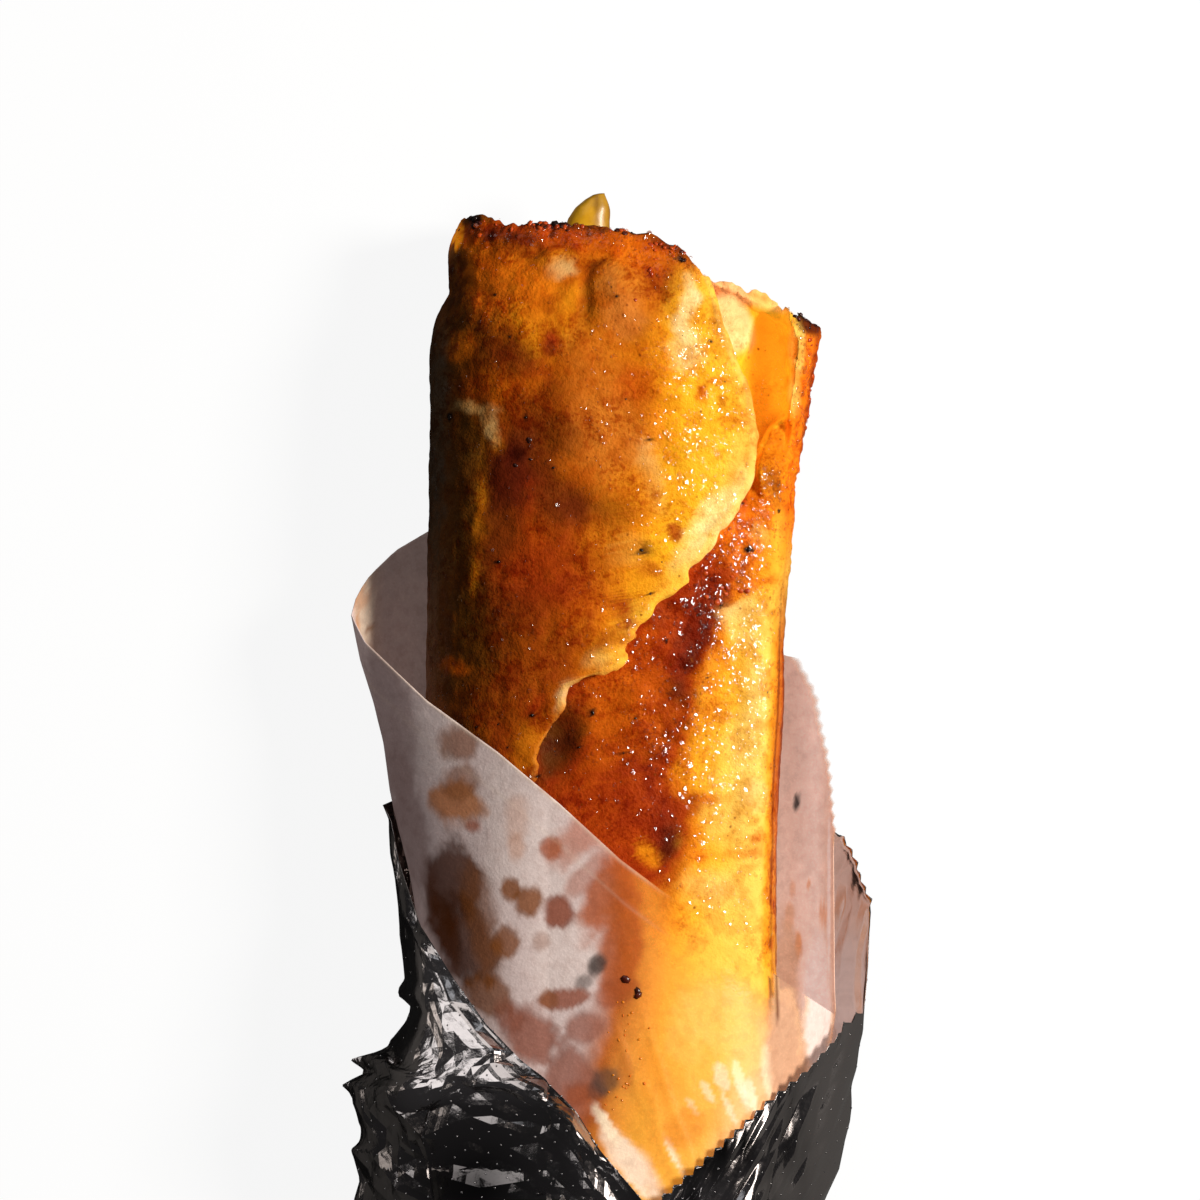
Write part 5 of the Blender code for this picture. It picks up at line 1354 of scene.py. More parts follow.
def paper_front_tones(x, y, ragged):
    """Front: mauve white, turning yellow and clear past the slanting line, clearest along
    the free edge, then stains, and pale lines along the edge and a hem."""
    tone = PAPER_WHITE + 0 * ragged[..., None]
    clear = 0.06 + 0 * ragged
    past = past_slant(x, y)
    wet = ease(past + 1.4 * ragged, -3, 4)
    tone += (gradient(PAPER_WET_TONES, past) - tone) * wet[..., None]
    clear += (0.7 - clear) * wet
    hem = straight_table(PAPER_FRONT_EDGE, x) - y
    clear += (1.4 - clear) * ease(x, 3, 13) * (1 - ease(hem + 2 * ragged, 2, 16))
    for colour, *spot, share, soft, seen in PAPER_SPOTS:
        far = spot_distance(x, y, *spot) + 0.35 * ragged
        weight = share * (1 - ease(far, 1 - 0.6 * soft, 1 + 0.6 * soft))
        tone += (STAIN[colour] - tone) * weight[..., None]
        if colour in RINGED:
            tone *= 1 - (0.14 * share * bell(far - 0.9, 0.13))[..., None]
        clear += (seen - clear) * weight
    lines = bell(hem - 0.35, 0.35) + 0.3 * bell(hem - 7.2, 0.4)
    lines = 0.45 * lines * (x > -43) * (1 - ease(x, 6, 14))
    tone += (STAIN["cream"] - tone) * lines[..., None]
    return tone, clear


def paper_back_tones(x, y, ragged):
    """Back and inside: plain pinkish tan, darker at the left as painted shade and palest by the
    right fold as painted light, with a few spots, some of them painted light.
    """
    tone = gradient(PAPER_BACK_TONES, x)
    tone *= 1 + 0.12 * ragged[..., None]
    for colour, *spot, share in BACK_SPOTS:
        far = spot_distance(x, y, *spot) + 0.3 * ragged
        tone += (STAIN[colour] - tone) * (share * (1 - ease(far, 0.7, 1.3)))[..., None]
    return tone


def paper_tones(x, y, turn, ragged):
    """Colour of every point of the paper, and how clear grease makes it there."""
    front = turn <= 1
    tone, clear = paper_front_tones(x, y, ragged)
    tone = np.where(front[..., None], tone, paper_back_tones(x, y, ragged))
    clear = np.where(front, clear, PAPER_BACK_CLEAR)
    return np.clip(tone, 0.004, 1), clear


# Specks and crumbs on the paper: x, y, radii, count.
SPECK_RUNS = ((3.3, -18.4, 0, 0, 1), (5.4, -20.6, 0, 0, 1), (5.9, -21.7, 0, 0, 1))
CRUMB_RUNS = (
    (4, -25, 2.4, 2.4, 7), (3.4, -36, 2.4, 2.4, 9), (5, -30, 3, 4, 8), (2, -40, 3, 3, 5),
)
# Both kinds: name, places, darkest and lightest colour, size.
PAPER_SPECKS = (
    ("paper_specks", SPECK_RUNS, "char", "burnt", 0.95),
    ("paper_crumbs", CRUMB_RUNS, "orange", "glow", 0.3),
)


def make_specks(grid, turn):
    """Dark specks and orange crumbs lying on the paper's front."""
    chance = np.random.default_rng(321)
    shown = turn <= 1
    normal, grid = outward_normals(grid)[shown], grid[shown]
    for k, (name, runs, dark, light, size) in enumerate(PAPER_SPECKS):
        picks = pick_near(grid, runs, chance, 0.6)
        count = len(picks)
        radius = size * chance.uniform(0.7, 1.1, count)
        sizes = np.stack([radius, chance.uniform(0.5, 0.9, count), 0.3 * radius], axis=1)
        colour = CRUST[dark] + (CRUST[light] - CRUST[dark]) * chance.random((count, 1))
        place = grid[picks] + 0.07 * normal[picks]
        specks = join_domes(name, place, normal[picks], sizes, colour, "paper", 0.25, 323 + k)
        specks.data.materials.append(lump_material())


# Runs of the paper's top edge: line, points, in front, tooth length.
PAPER_RUNS = (
    (PAPER_FRONT_EDGE, 144, True, 0), (PAPER_SIDE_EDGE, 14, False, 0),
    (PAPER_CUT_EDGE, 84, False, TOOTH), (PAPER_BACK_EDGE, 58, False, 0),
)
PAPER_ROWS = 118
PAPER_THICK = 0.14


def paper_waves(grid, turn):
    """Height of the paper's waves in mm: clouds of 16 and 5 mm, and long wrinkles,
    (1 - |cloud|)^7 of stretched and slanted places, strongest low on the right."""
    x, y = grid[..., 0], grid[..., 1]
    wave = 0.28 + 0.22 * clouds(grid, 16, 101, 2) + 0.06 * clouds(grid, 5, 103, 2)
    slant = grid * np.array([1, 0.22, 0])
    slant[..., 0] += 0.35 * y
    wrinkle = (1 - np.abs(clouds(slant, 5, 107, 2))) ** 7
    low = ease(-y, 18, 34) * ease(x, -4, 4)
    wave += 0.28 * wrinkle * (0.15 + 0.85 * low)
    return wave * (np.where(turn <= 1, 1, 0.5) * ease(grid[..., 2], 2, 6))


def paper_glow(x, y, turn):
    """Painted glow of the paper, shown as emission and standing in for light that comes
    through it: in front where it is greasy and along the shaded left, behind at both sides."""
    lit = 0.2 * ease(past_slant(x, y), 1, 9) + 0.12 * ease(-x, 20, 28)
    behind = 0.55 * ease(x, 27, 33) + 0.14 * (1 - ease(x, -30, -26))
    return np.where(turn <= 1, lit, behind)


def make_paper():
    """Greaseproof paper: a cone with gentle waves and one saw-cut edge."""
    edge = sheet_edge(PAPER_RUNS, PAPER_SIDES)
    heights = (paper_front, paper_back)
    grid, turn = sheet_grid(edge, PAPER_END_Y, PAPER_SIDES, heights, PAPER_ROWS, 1.15)
    grid = grid + outward_normals(grid) * paper_waves(grid, turn)[..., None]
    add_teeth(grid, edge[2])
    ragged = clouds(grid, 3.4, 111, 3) + 0.5 * clouds(grid, 1.2, 113, 2)
    x, y = grid[..., 0], grid[..., 1]
    tones, clear = paper_tones(x, y, turn, ragged)
    masks = {"clear": clear, "glow": paper_glow(x, y, turn)}
    item = sheet_mesh("greaseproof_paper", grid, PAPER_THICK, "paper", tones, masks)
    item.data.materials.append(paper_material())
    make_specks(grid, turn)


def facet_field(rows, count, step, seed):
    """Random vectors on every step-th row and column of a grid, from -0.5 to 0.5, and
    straight across the two triangles of each cell between them: from a cell's shares
    a and b, (1 - a - b) start + a below + b beside, and the same from the far corner."""
    round_it = count // step
    knots = np.random.default_rng(seed).random((rows // step + 2, round_it, 3)) - 0.5
    row, column = np.meshgrid(np.arange(rows) / step, np.arange(count) / step, indexing="ij")
    i, j = np.floor(row).astype(int), np.floor(column).astype(int)
    a, b = (row - i)[..., None], (column - j)[..., None]
    after = (j + 1) % round_it
    below, beside = knots[i + 1, j], knots[i, after]
    first = knots[i, j] * (1 - a - b) + below * a + beside * b
    second = knots[i + 1, after] * (a + b - 1) + beside * (1 - a) + below * (1 - b)
    return np.where(a + b < 1, first, second)


def crumple(grid, sizes, seed):
    """Facets of several sizes added up, in mm: shift along the rows and the columns,
    and height along the normal."""
    total = 0
    for k, (step, shift, height) in enumerate(sizes):
        reach = np.array([shift, shift, height])
        total = total + facet_field(*grid.shape[:2], step, seed + k) * reach
    return total


# Crumpled and smooth foil: grid steps to a facet, shift and height in mm.
FOIL_CRUMPLE = ((12, 3.6, 3.4), (6, 1.8, 1.5), (3, 0.5, 0.32))
FOIL_FAINT = ((12, 0, 1.1), (6, 0, 0.4))
# Outline of the torn left side as y, x.
FOIL_TORN = (
    (-108, -22.5), (-90, -33), (-75, -41), (-60, -45), (-56, -44.2), (-52.4, -45.2), (-50.4, -45.8),
    (-48.8, -43.4), (-46.5, -42.3), (-43.4, -43.2), (-41, -44.2), (-39.6, -46.3), (-38.2, -43.6),
    (-37.2, -41.4), (-36.2, -43.4), (-35.3, -45.4), (-34.4, -41.8), (-33.2, -38.6), (-31, -37.6),
    (-27.6, -35.2), (-24.6, -34.2), (-22.8, -36.8), (-21.6, -36.8), (-20, -35.6), (-10, -36.5),
    (-2, -37.6), (5, -38.3), (9, -38.6), (12, -40),
)


def foil_looseness(grid, turn):
    """How crumpled the foil is: fully on the left, behind and at the end, hardly on
    the smooth right flap."""
    y = grid[..., 1]
    front = 1 - ease(turn, 0.44, 0.6)
    behind = ease(turn, 1.55, 1.8)
    end = 1 - ease(y, -96, -84)
    return np.maximum(np.maximum(front, behind), 0.6 * end)


# Embossed dots: spacing, turn of their lattice, y of its middle, how near to a dot's
# place a grid point has to be, and the dot's radius, squeeze and height.
EMBOSS_PITCH = 2.75
EMBOSS_TURN = 38.0
EMBOSS_Y = -40
EMBOSS_NEAR = 0.6
EMBOSS_SIZE = (0.22, 1.0, 0.08)


def make_embossing(grid, turn):
    """Raised dots of the foil on a square lattice turned by the embossing angle."""
    shown = (turn <= 1) & (turn > 0.06)
    normal = outward_normals(grid)[shown]
    grid = grid[shown]
    step = np.arange(-30, 31) * EMBOSS_PITCH
    u, v = np.meshgrid(step, step)
    c, s = np.cos(np.radians(EMBOSS_TURN)), np.sin(np.radians(EMBOSS_TURN))
    target = np.stack([(u * c - v * s).ravel(), (u * s + v * c).ravel() + EMBOSS_Y], axis=1)
    picks, far = nearest(grid, target)
    picks = picks[far < EMBOSS_NEAR**2]
    sizes = np.tile(EMBOSS_SIZE, (len(picks), 1))
    place = grid[picks] + 0.05 * normal[picks]
    tones = srgb(214, 210, 210) + 0 * place
    item = join_domes("foil_embossing", place, normal[picks], sizes, tones, "foil", 0.0, 311)
    item.data.materials.append(foil_material())


# Runs of the foil's top edge: line, points, in front, tooth length.
FOIL_RUNS = (
    (FOIL_LEFT_EDGE, 112, True, 0), (FOIL_CUT_FRONT, 126, True, TOOTH),
    (FOIL_SIDE_EDGE, 16, False, 0), (FOIL_CUT_BACK, 36, False, TOOTH),
    (FOIL_BACK_EDGE, 58, False, 0),
)
FOIL_ROWS = 133
FOIL_THICK = 0.12
FLAP_PASSES = 16
# Even slope beside the paper: x and z of its middle, and its rise.
SLOPE_X, SLOPE_Z, SLOPE_RISE = -21, 36.6, 0.42
# Ridge across the crumpled side: y, half width and height.
RIDGE_Y, RIDGE_WIDE, RIDGE_HIGH = -38, 15, 3.4
# Flattened end: how far down it starts and is shut, its height, and the lowest z.
FOIL_SHUT_FROM, FOIL_SHUT_Y, FOIL_SHUT_Z = 101, 108.0, 1.6
FOIL_LOWEST = 0.06


def smooth_flap(grid, loose, front):
    """Even out the smooth flap: each z becomes a quarter of its neighbours' sum and
    twice its own along the row, again and again."""
    z = grid[..., 2]
    soft = z.copy()
    for _ in range(FLAP_PASSES):
        soft = (np.roll(soft, 1, axis=1) + 2 * soft + np.roll(soft, -1, axis=1)) / 4
    grid[..., 2] += (soft - z) * (1 - loose) * front


def beside_paper(x, y, front):
    """1 on the even slope that the foil has beside the paper's slanting edge."""
    beside = ease(-x, 10, 16) * (1 - ease(-x, 31, 36)) * front
    return beside * (ease(y, -42, -38) * (1 - ease(y, -16, -10)))


def crease(grid, loose, front, side):
    """Foil pushed out along its normal by the crumple's heights plus a ridge, calmer
    beside the paper, and slid within itself by the crumple's shifts; its smooth flap
    has faint facets alone."""
    y = grid[..., 1]
    normal = outward_normals(grid)
    from_edge = 0.35 + 0.65 * ease(np.linspace(0, 1, len(grid))[:, None], 0, 0.06)
    along = np.gradient(grid, axis=0)
    along /= np.linalg.norm(along, axis=2, keepdims=True)
    rough = crumple(grid, FOIL_CRUMPLE, 201)
    faint = crumple(grid, FOIL_FAINT, 211)[..., 2] + 0.25
    calm = 1 - 0.7 * ease(y, -39, -36) * (1 - ease(y, -18, -12)) * front
    ridge = RIDGE_HIGH * np.clip(1 - np.abs(y - RIDGE_Y) / RIDGE_WIDE, 0, 1) * front
    push = np.maximum(calm * rough[..., 2] + ridge + 1.2, 0) * from_edge * loose
    push += faint * (1 - loose)
    push *= (ease(grid[..., 2], 1.5, 8) + 0.1) * (1 - 0.7 * side)
    reach = loose * (1 - side) * (from_edge - 0.35) * ease(grid[..., 2], 3, 8)
    slide = rough * reach[..., None]
    grid = grid + normal * push[..., None] + along * slide[..., :1]
    return grid + np.cross(normal, along) * slide[..., 1:2]


def tear_and_shut(grid, y, front, side):
    """Move the left fold out to the torn outline, and press the end flat."""
    torn = straight_table(FOIL_TORN, y) - straight_table(FOIL_LEFT, y)
    grid[..., 0] += torn * side
    shut = ease(-y, FOIL_SHUT_FROM, FOIL_SHUT_Y)
    grid[..., 2] += (FOIL_SHUT_Z + 0.3 * front - grid[..., 2]) * shut
    grid[..., 2] = np.maximum(grid[..., 2], FOIL_LOWEST)


def foil_tones(grid, x, y, loose, front):
    """Foil colours: bright metal, with painted dark reflections standing in for the dark room that
    foil mirrors: darkened by clouds on the smooth flap, on the crumpled side and more round a spot
    low on it, and hardly beside the paper."""
    # painted dark reflections on the smooth flap, strongest left of x 31
    dull = (1 - ease(x, 32, 40)) * (1 - loose) * front
    cloud = clouds(grid * np.array([1, 0.5, 1]), 4, 221, 2)
    dull = (0.66 + 0.26 * (1 - ease(x, 27, 31))) * dull * np.clip(0.55 + 0.8 * cloud, 0, 1)
    # painted dark reflections on the crumpled side, most round a spot near x -23, y -56
    low = bell(np.hypot(x + 23, y + 56) / 9, 1)
    crumpled = (0.5 - 0.47 * beside_paper(x, y, front) + 0.38 * low) * loose * front
    return srgb(206, 198, 196) * (1 - np.maximum(dull, crumpled)[..., None])


def make_foil():
    """Foil: a cone crumpled into flat facets of 12, 6 and 3 grid steps where it is
    loose, and with faint ones on its smooth flap."""
    edge = sheet_edge(FOIL_RUNS, FOIL_SIDES)
    heights = (foil_front, foil_back)
    grid, turn = sheet_grid(edge, FOIL_END_Y, FOIL_SIDES, heights, FOIL_ROWS, 1.1)
    x, y, front = grid[..., 0], grid[..., 1], turn <= 1
    loose = foil_looseness(grid, turn)
    smooth_flap(grid, loose, front)
    slope = SLOPE_Z + SLOPE_RISE * (x - SLOPE_X)
    grid[..., 2] += beside_paper(x, y, front) * (slope - grid[..., 2])
    side = bell(np.minimum(turn, 2 - turn), 0.13)
    grid = crease(grid, loose, front, side)
    tear_and_shut(grid, y, front, side)
    add_teeth(grid, edge[2])
    tones = foil_tones(grid, x, y, loose, front)
    item = sheet_mesh("crumpled_foil", grid, FOIL_THICK, "foil", tones, {}, loose[:-1] > 0.5)
    item.data.materials.append(foil_material())
    make_embossing(grid, turn)


# ---- materials
def node(tree, kind, **values):
    """One shader node with its properties and socket values set."""
    made = tree.nodes.new(kind)
    for key, value in values.items():
        if hasattr(made, key):
            setattr(made, key, value)
        else:
            made.inputs[key.replace("_", " ")].default_value = value
    return made


def new_material(name):
    """Material with a Principled surface; returns it, its tree and that shader."""
    made = bpy.data.materials.new(name)
    made.use_nodes = True
    return made, made.node_tree, made.node_tree.nodes["Principled BSDF"]


def grain_group():
    """Group: two noises of Object coordinates, fine and coarse, a mask of small
    specks gathered by the coarse one, and a height for bumps."""
    made = bpy.data.node_groups.get("grain")
    if made:
        return made
    made = bpy.data.node_groups.new("grain", "ShaderNodeTree")
    for label in ("Fine", "Coarse", "Speck"):
        made.interface.new_socket(label, in_out="INPUT", socket_type="NodeSocketFloat")
    for label in ("Fine Mask", "Coarse Mask", "Speck Mask", "Height"):
        made.interface.new_socket(label, in_out="OUTPUT", socket_type="NodeSocketFloat")
    into, out = made.nodes.new("NodeGroupInput"), made.nodes.new("NodeGroupOutput")
    place = made.nodes.new("ShaderNodeTexCoord")
    link = made.links.new
    fine = node(made, "ShaderNodeTexNoise", Detail=3.0, Roughness=0.6)
    coarse = node(made, "ShaderNodeTexNoise", Detail=4.0, Roughness=0.6)
    speck = node(made, "ShaderNodeTexVoronoi")
    for texture, label in ((fine, "Fine"), (coarse, "Coarse"), (speck, "Speck")):
        link(place.outputs["Object"], texture.inputs["Vector"])
        link(into.outputs[label], texture.inputs["Scale"])
    near = ranged(made, speck.outputs["Distance"], 0.17, 0.09, 0, 1)
    gather = ranged(made, coarse.outputs["Fac"], 0.5, 0.6, 0, 1)
    height = node(made, "ShaderNodeMath", operation="MULTIPLY_ADD")
    height.inputs[1].default_value = 1.6
    link(coarse.outputs["Fac"], height.inputs[0])
    link(fine.outputs["Fac"], height.inputs[2])
    link(fine.outputs["Fac"], out.inputs["Fine Mask"])
    link(coarse.outputs["Fac"], out.inputs["Coarse Mask"])
    link(times(made, near, gather), out.inputs["Speck Mask"])
    link(height.outputs["Value"], out.inputs["Height"])
    return made


def place_group(tree, group, **values):
    """Group node with its input values set."""
    made = tree.nodes.new("ShaderNodeGroup")
    made.node_tree = group
    for key, value in values.items():
        made.inputs[key].default_value = value
    return made


def ranged(tree, source, low, high, to_low, to_high):
    """Map Range node fed by a socket."""
    made = tree.nodes.new("ShaderNodeMapRange")
    spans = (("From Min", low), ("From Max", high), ("To Min", to_low), ("To Max", to_high))
    for key, value in spans:
        made.inputs[key].default_value = value
    tree.links.new(source, made.inputs["Value"])
    return made.outputs["Result"]


def mixed(tree, share, first, second, blend="MIX"):
    """Mix Color node: sockets or colours, by a socket or a number."""
    made = tree.nodes.new("ShaderNodeMix")
    made.data_type = "RGBA"
    made.blend_type = blend
    for slot, value in ((0, share), (6, first), (7, second)):
        if isinstance(value, bpy.types.NodeSocket):
            tree.links.new(value, made.inputs[slot])
        elif slot:
            made.inputs[slot].default_value = (*value, 1)
        else:
            made.inputs[slot].default_value = value
    return made.outputs[2]


def times(tree, first, second):
    """Product of a socket and a socket or number."""
    made = node(tree, "ShaderNodeMath", operation="MULTIPLY")
    tree.links.new(first, made.inputs[0])
    if isinstance(second, bpy.types.NodeSocket):
        tree.links.new(second, made.inputs[1])
    else:
        made.inputs[1].default_value = second
    return made.outputs["Value"]


def bump(tree, height, strength, distance):
    """Bump node: distance in metres."""
    made = tree.nodes.new("ShaderNodeBump")
    made.inputs["Strength"].default_value = strength
    made.inputs["Distance"].default_value = distance
    tree.links.new(height, made.inputs["Height"])
    return made.outputs["Normal"]


def attribute(tree, name):
    """Socket of a point attribute."""
    return node(tree, "ShaderNodeAttribute", attribute_name=name).outputs["Fac"]


def feed(tree, shader, sources):
    """Fill a shader's inputs: a socket is linked, a number or a colour is set."""
    for name, source in sources.items():
        if isinstance(source, bpy.types.NodeSocket):
            tree.links.new(source, shader.inputs[name])
        else:
            shader.inputs[name].default_value = source


def laid_tone(tree):
    """Socket of the colour laid on the mesh's points."""
    return node(tree, "ShaderNodeVertexColor", layer_name="tone").outputs["Color"]


def tinted(tree, colour, share, tint):
    """Colour mixed by a share with itself times a tint."""
    return mixed(tree, share, colour, mixed(tree, 1.0, colour, tint, "MULTIPLY"))


def soft_noise(tree, scale):
    """One smooth noise of Object coordinates."""
    place = tree.nodes.new("ShaderNodeTexCoord")
    noise = node(tree, "ShaderNodeTexNoise", Scale=scale, Detail=1.0, Roughness=0.5)
    tree.links.new(place.outputs["Object"], noise.inputs["Vector"])
    return noise.outputs["Fac"]


def crust_material():
    """Toasted crust: the laid tone, browned, paled and darkened by grain gathered in
    patches, dark specks, a bumpy coat of oil where it is wet, and a painted glow as emission by the
    glow attribute."""
    made, tree, shader = new_material("toasted_crust")
    wet, glow, brown = (attribute(tree, name) for name in ("wet", "glow", "brown"))
    grain = place_group(tree, grain_group(), Fine=1700.0, Coarse=420.0, Speck=520.0)
    beads, patches = soft_noise(tree, 800.0), soft_noise(tree, 130.0)
    coarse, fine = grain.outputs["Coarse Mask"], grain.outputs["Fine Mask"]
    brown = times(tree, ranged(tree, patches, 0.42, 0.58, 0.3, 1.15), brown)
    browned, paler, darker = (0.66, 0.4, 0.2), (1.2, 1.34, 1.5), (0.7, 0.46, 0.24)
    colour = laid_tone(tree)
    for mask, low, high, most, tint in (
        (coarse, 0.5, 0.62, 0.8, browned), (coarse, 0.47, 0.36, 0.8, paler),
        (fine, 0.52, 0.6, 0.75, darker),
    ):
        share = times(tree, ranged(tree, mask, low, high, 0, most), brown)
        colour = tinted(tree, colour, share, tint)
    specks = times(tree, grain.outputs["Speck Mask"], 0.7)
    colour = mixed(tree, specks, colour, tuple(CRUST["umber"]))
    feed(tree, shader, {
        "Base Color": colour, "Emission Color": colour, "Emission Strength": glow,
        "Roughness": 0.5, "Specular IOR Level": 0.12, "Specular Tint": (1.0, 0.6, 0.25, 1),
        "Normal": bump(tree, grain.outputs["Height"], 0.7, 0.00028),
        "Coat Weight": ranged(tree, wet, 0.2, 1, 0, 0.8), "Coat Roughness": 0.05,
        "Coat Normal": bump(tree, beads, 1.0, 0.0006),
    })
    return made


def oil_material():
    """Beads of oil: clear enough to show the crust below, under a sharp shine, with the crust's
    painted glow as emission.
    """
    made, tree, shader = new_material("oily_skin")
    tone = laid_tone(tree)
    feed(tree, shader, {
        "Base Color": tone, "Emission Color": tone, "Alpha": 0.34, "Roughness": 0.12,
        "Emission Strength": attribute(tree, "glow"), "Specular IOR Level": 1.0,
        "Coat Weight": 1.0, "Coat Roughness": 0.04,
    })
    return made


def lump_material():
    """Toasted and charred lumps: rough, with a little oil on them."""
    made = bpy.data.materials.get("charred_crust")
    if made:
        return made
    made, tree, shader = new_material("charred_crust")
    feed(tree, shader, {
        "Base Color": laid_tone(tree), "Roughness": 0.5, "Specular IOR Level": 0.2,
        "Coat Weight": 0.5, "Coat Roughness": 0.12,
    })
    return made


def pickle_material():
    """Wet pickled flesh: smooth, a little shiny, with a weak painted glow, an emission standing in
    for light through the flesh.
    """
    made, tree, shader = new_material("pickled_flesh")
    grain = place_group(tree, grain_group(), Fine=1500.0, Coarse=500.0, Speck=900.0)
    coarse = grain.outputs["Coarse Mask"]
    share = ranged(tree, coarse, 0.45, 0.65, 0, 0.6)
    colour = tinted(tree, laid_tone(tree), share, (0.8, 0.75, 0.6))
    feed(tree, shader, {
        "Base Color": colour, "Emission Color": colour, "Emission Strength": 0.22,
        "Roughness": 0.4, "Coat Weight": 0.15, "Coat Roughness": 0.2,
        "Normal": bump(tree, coarse, 0.4, 0.0002),
    })
    return made


def paper_material():
    """Greaseproof paper: fibrous tone, clearer and shinier where greasy, with a painted glow as
    emission by the glow attribute.
    """
    made, tree, shader = new_material("greaseproof_paper")
    clear = attribute(tree, "clear")
    grain = place_group(tree, grain_group(), Fine=1900.0, Coarse=520.0, Speck=240.0)
    share = ranged(tree, grain.outputs["Coarse Mask"], 0.46, 0.64, 0, 0.45)
    colour = tinted(tree, laid_tone(tree), share, (0.78, 0.72, 0.7))
    share = ranged(tree, grain.outputs["Fine Mask"], 0.5, 0.66, 0, 0.7)
    colour = tinted(tree, colour, share, (1.14, 1.14, 1.14))
    feed(tree, shader, {
        "Base Color": colour, "Roughness": ranged(tree, clear, 0, 1, 0.7, 0.32),
        "Alpha": ranged(tree, clear, 0, 1.4, 0.95, 0.03), "Emission Color": colour,
        "Emission Strength": attribute(tree, "glow"), "Specular IOR Level": 0.3,
        "Normal": bump(tree, grain.outputs["Height"], 0.4, 0.00015),
    })
    return made


def foil_material():
    """Household foil: bright metal, a little duller in fine rolling marks."""
    made = bpy.data.materials.get("household_foil")
    if made:
        return made
    made, tree, shader = new_material("household_foil")
    grain = place_group(tree, grain_group(), Fine=1400.0, Coarse=350.0, Speck=300.0)
    feed(tree, shader, {
        "Base Color": laid_tone(tree), "Metallic": 1.0,
        "Roughness": ranged(tree, grain.outputs["Fine Mask"], 0.3, 0.7, 0.1, 0.2),
        "Normal": bump(tree, grain.outputs["Coarse Mask"], 0.35, 0.0002),
    })
    return made


def floor_material():
    """Pale floor: bright to the eye, and only faintly lit back onto the object."""
    made, tree, shader = new_material("pale_floor")
    path = tree.nodes.new("ShaderNodeLightPath")
    feed(tree, shader, {
        "Base Color": (0.1, 0.1, 0.1, 1), "Roughness": 0.9, "Specular IOR Level": 0.0,
        "Emission Color": (1, 1, 1, 1),
        "Emission Strength": ranged(tree, path.outputs["Is Camera Ray"], 0, 1, 0, 0.91),
    })
    return made


# ---- stage
FLOOR_HALF = 3.0
VIEW_CENTRE = (-0.9, 48.6)
VIEW_WIDE = 216.0
VIEW_PLANE = 19.0
LENS = 200.0
SENSOR = 36.0
LIGHT_AIM = (0, 30, 15)
KEY_REACH = 1050.0
KEY_HEIGHT = 40.0
KEY_TURN = 12.0
KEY_SIZE = 300
KEY_POWER = 15.0
# Panels that only the foil mirrors: heading, fall from above, size, power.
FOIL_PANELS = (
    (150, 51, 400, 0.7), (172, 84, 190, 0.12), (100, 30, 240, 0.1), (-100, 36, 140, 0.07),
    (-170, 20, 100, 0.05), (60, 62, 260, 0.12), (-45, 38, 100, 0.06), (12, 50, 300, 2.2),
)

PANEL_TINTS = ((1, 1, 1), (1, 0.93, 0.86), (0.86, 0.93, 1))


def make_floor():
    """Square floor under the wrap."""
    half = FLOOR_HALF
    corners = [(-half, -half, 0), (half, -half, 0), (half, half, 0), (-half, half, 0)]
    data = bpy.data.meshes.new("floor")
    data.from_pydata(corners, [], [(0, 1, 2, 3)])
    item = bpy.data.objects.new("floor", data)
    bpy.context.scene.collection.objects.link(item)
    item.data.materials.append(floor_material())


def make_camera():
    """Straight down: distance = lens * width / sensor above the middle plane."""
    data = bpy.data.cameras.new("camera")
    data.lens = LENS
    data.sensor_width = SENSOR
    camera = bpy.data.objects.new("camera", data)
    bpy.context.scene.collection.objects.link(camera)
    height = VIEW_PLANE + LENS * VIEW_WIDE / SENSOR
    camera.location = (VIEW_CENTRE[0] * MM, VIEW_CENTRE[1] * MM, height * MM)
    bpy.context.scene.camera = camera


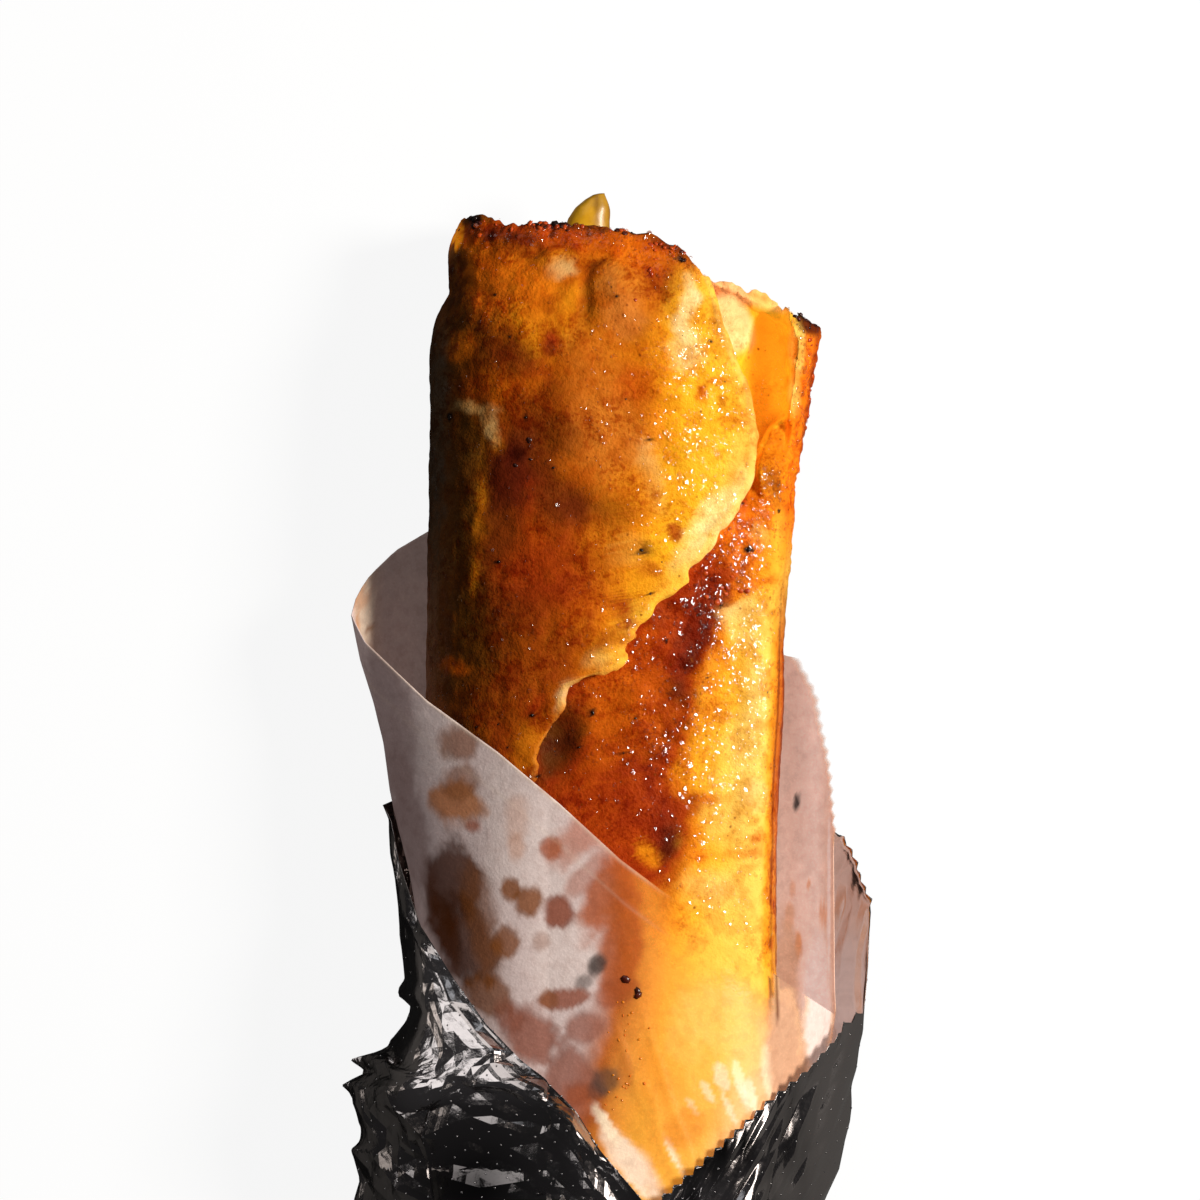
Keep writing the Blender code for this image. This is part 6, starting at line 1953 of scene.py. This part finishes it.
def area_light(name, spot, size, power, colour, aim=LIGHT_AIM):
    """Square area light at a place in mm, turned to its aim."""
    data = bpy.data.lights.new(name, "AREA")
    data.size = size * MM
    data.energy = power
    data.color = colour
    item = bpy.data.objects.new(name, data)
    bpy.context.scene.collection.objects.link(item)
    item.location = Vector(spot) * MM
    item.rotation_euler = (Vector(spot) - Vector(aim)).to_track_quat("Z", "Y").to_euler()
    return item


def panel_spot(heading, fall):
    """Place one metre off at a heading from +X and a fall from straight up."""
    heading, fall = np.radians(heading), np.radians(fall)
    way = np.array([np.sin(fall) * np.cos(heading), np.sin(fall) * np.sin(heading), np.cos(fall)])
    return tuple(1000 * way + (0, -30, 15))


def make_lights():
    """Key from the right at its height and turn, kept off the foil, and a broad dim
    fill from beyond the mouth."""
    height, turn = np.radians(KEY_HEIGHT), np.radians(KEY_TURN)
    way = np.array([np.cos(height) * np.cos(turn), np.cos(height) * np.sin(turn), np.sin(height)])
    spot = tuple(KEY_REACH * way + LIGHT_AIM)
    key = area_light("key", spot, KEY_SIZE, KEY_POWER, (1.0, 0.96, 0.9))
    area_light("fill", (-250, 1000, 700), 700, 1.6, (1.0, 0.98, 0.96))
    wrappers, unlit = (bpy.data.collections.new(name) for name in ("wrappers", "unlit"))
    for name in ("crumpled_foil", "foil_embossing"):
        wrappers.objects.link(bpy.data.objects[name])
        unlit.objects.link(bpy.data.objects[name])
    for member in unlit.collection_objects:
        member.light_linking.link_state = "EXCLUDE"
    key.light_linking.receiver_collection = unlit
    make_panels(wrappers)


def make_panels(wrappers):
    """Panels whose mirror images give the foil its light and dark facets."""
    for k, (heading, fall, size, power) in enumerate(FOIL_PANELS):
        tint = PANEL_TINTS[k % len(PANEL_TINTS)]
        panel = area_light(f"foil_panel_{k + 1}", panel_spot(heading, fall), size, power, tint)
        panel.light_linking.receiver_collection = wrappers
        panel.visible_diffuse = panel.visible_camera = False
        panel.visible_transmission = panel.visible_volume_scatter = False


def make_world():
    """Weak even light from all sides, shown in plain screen colours."""
    world = bpy.data.worlds.new("studio")
    world.use_nodes = True
    background = world.node_tree.nodes["Background"]
    background.inputs["Color"].default_value = (0.9, 0.9, 0.95, 1)
    background.inputs["Strength"].default_value = 0.035
    bpy.context.scene.world = world
    bpy.context.scene.view_settings.view_transform = "Standard"


make_camera()
make_floor()
make_roll()
make_pickle()
make_paper()
make_foil()
make_lights()
make_world()
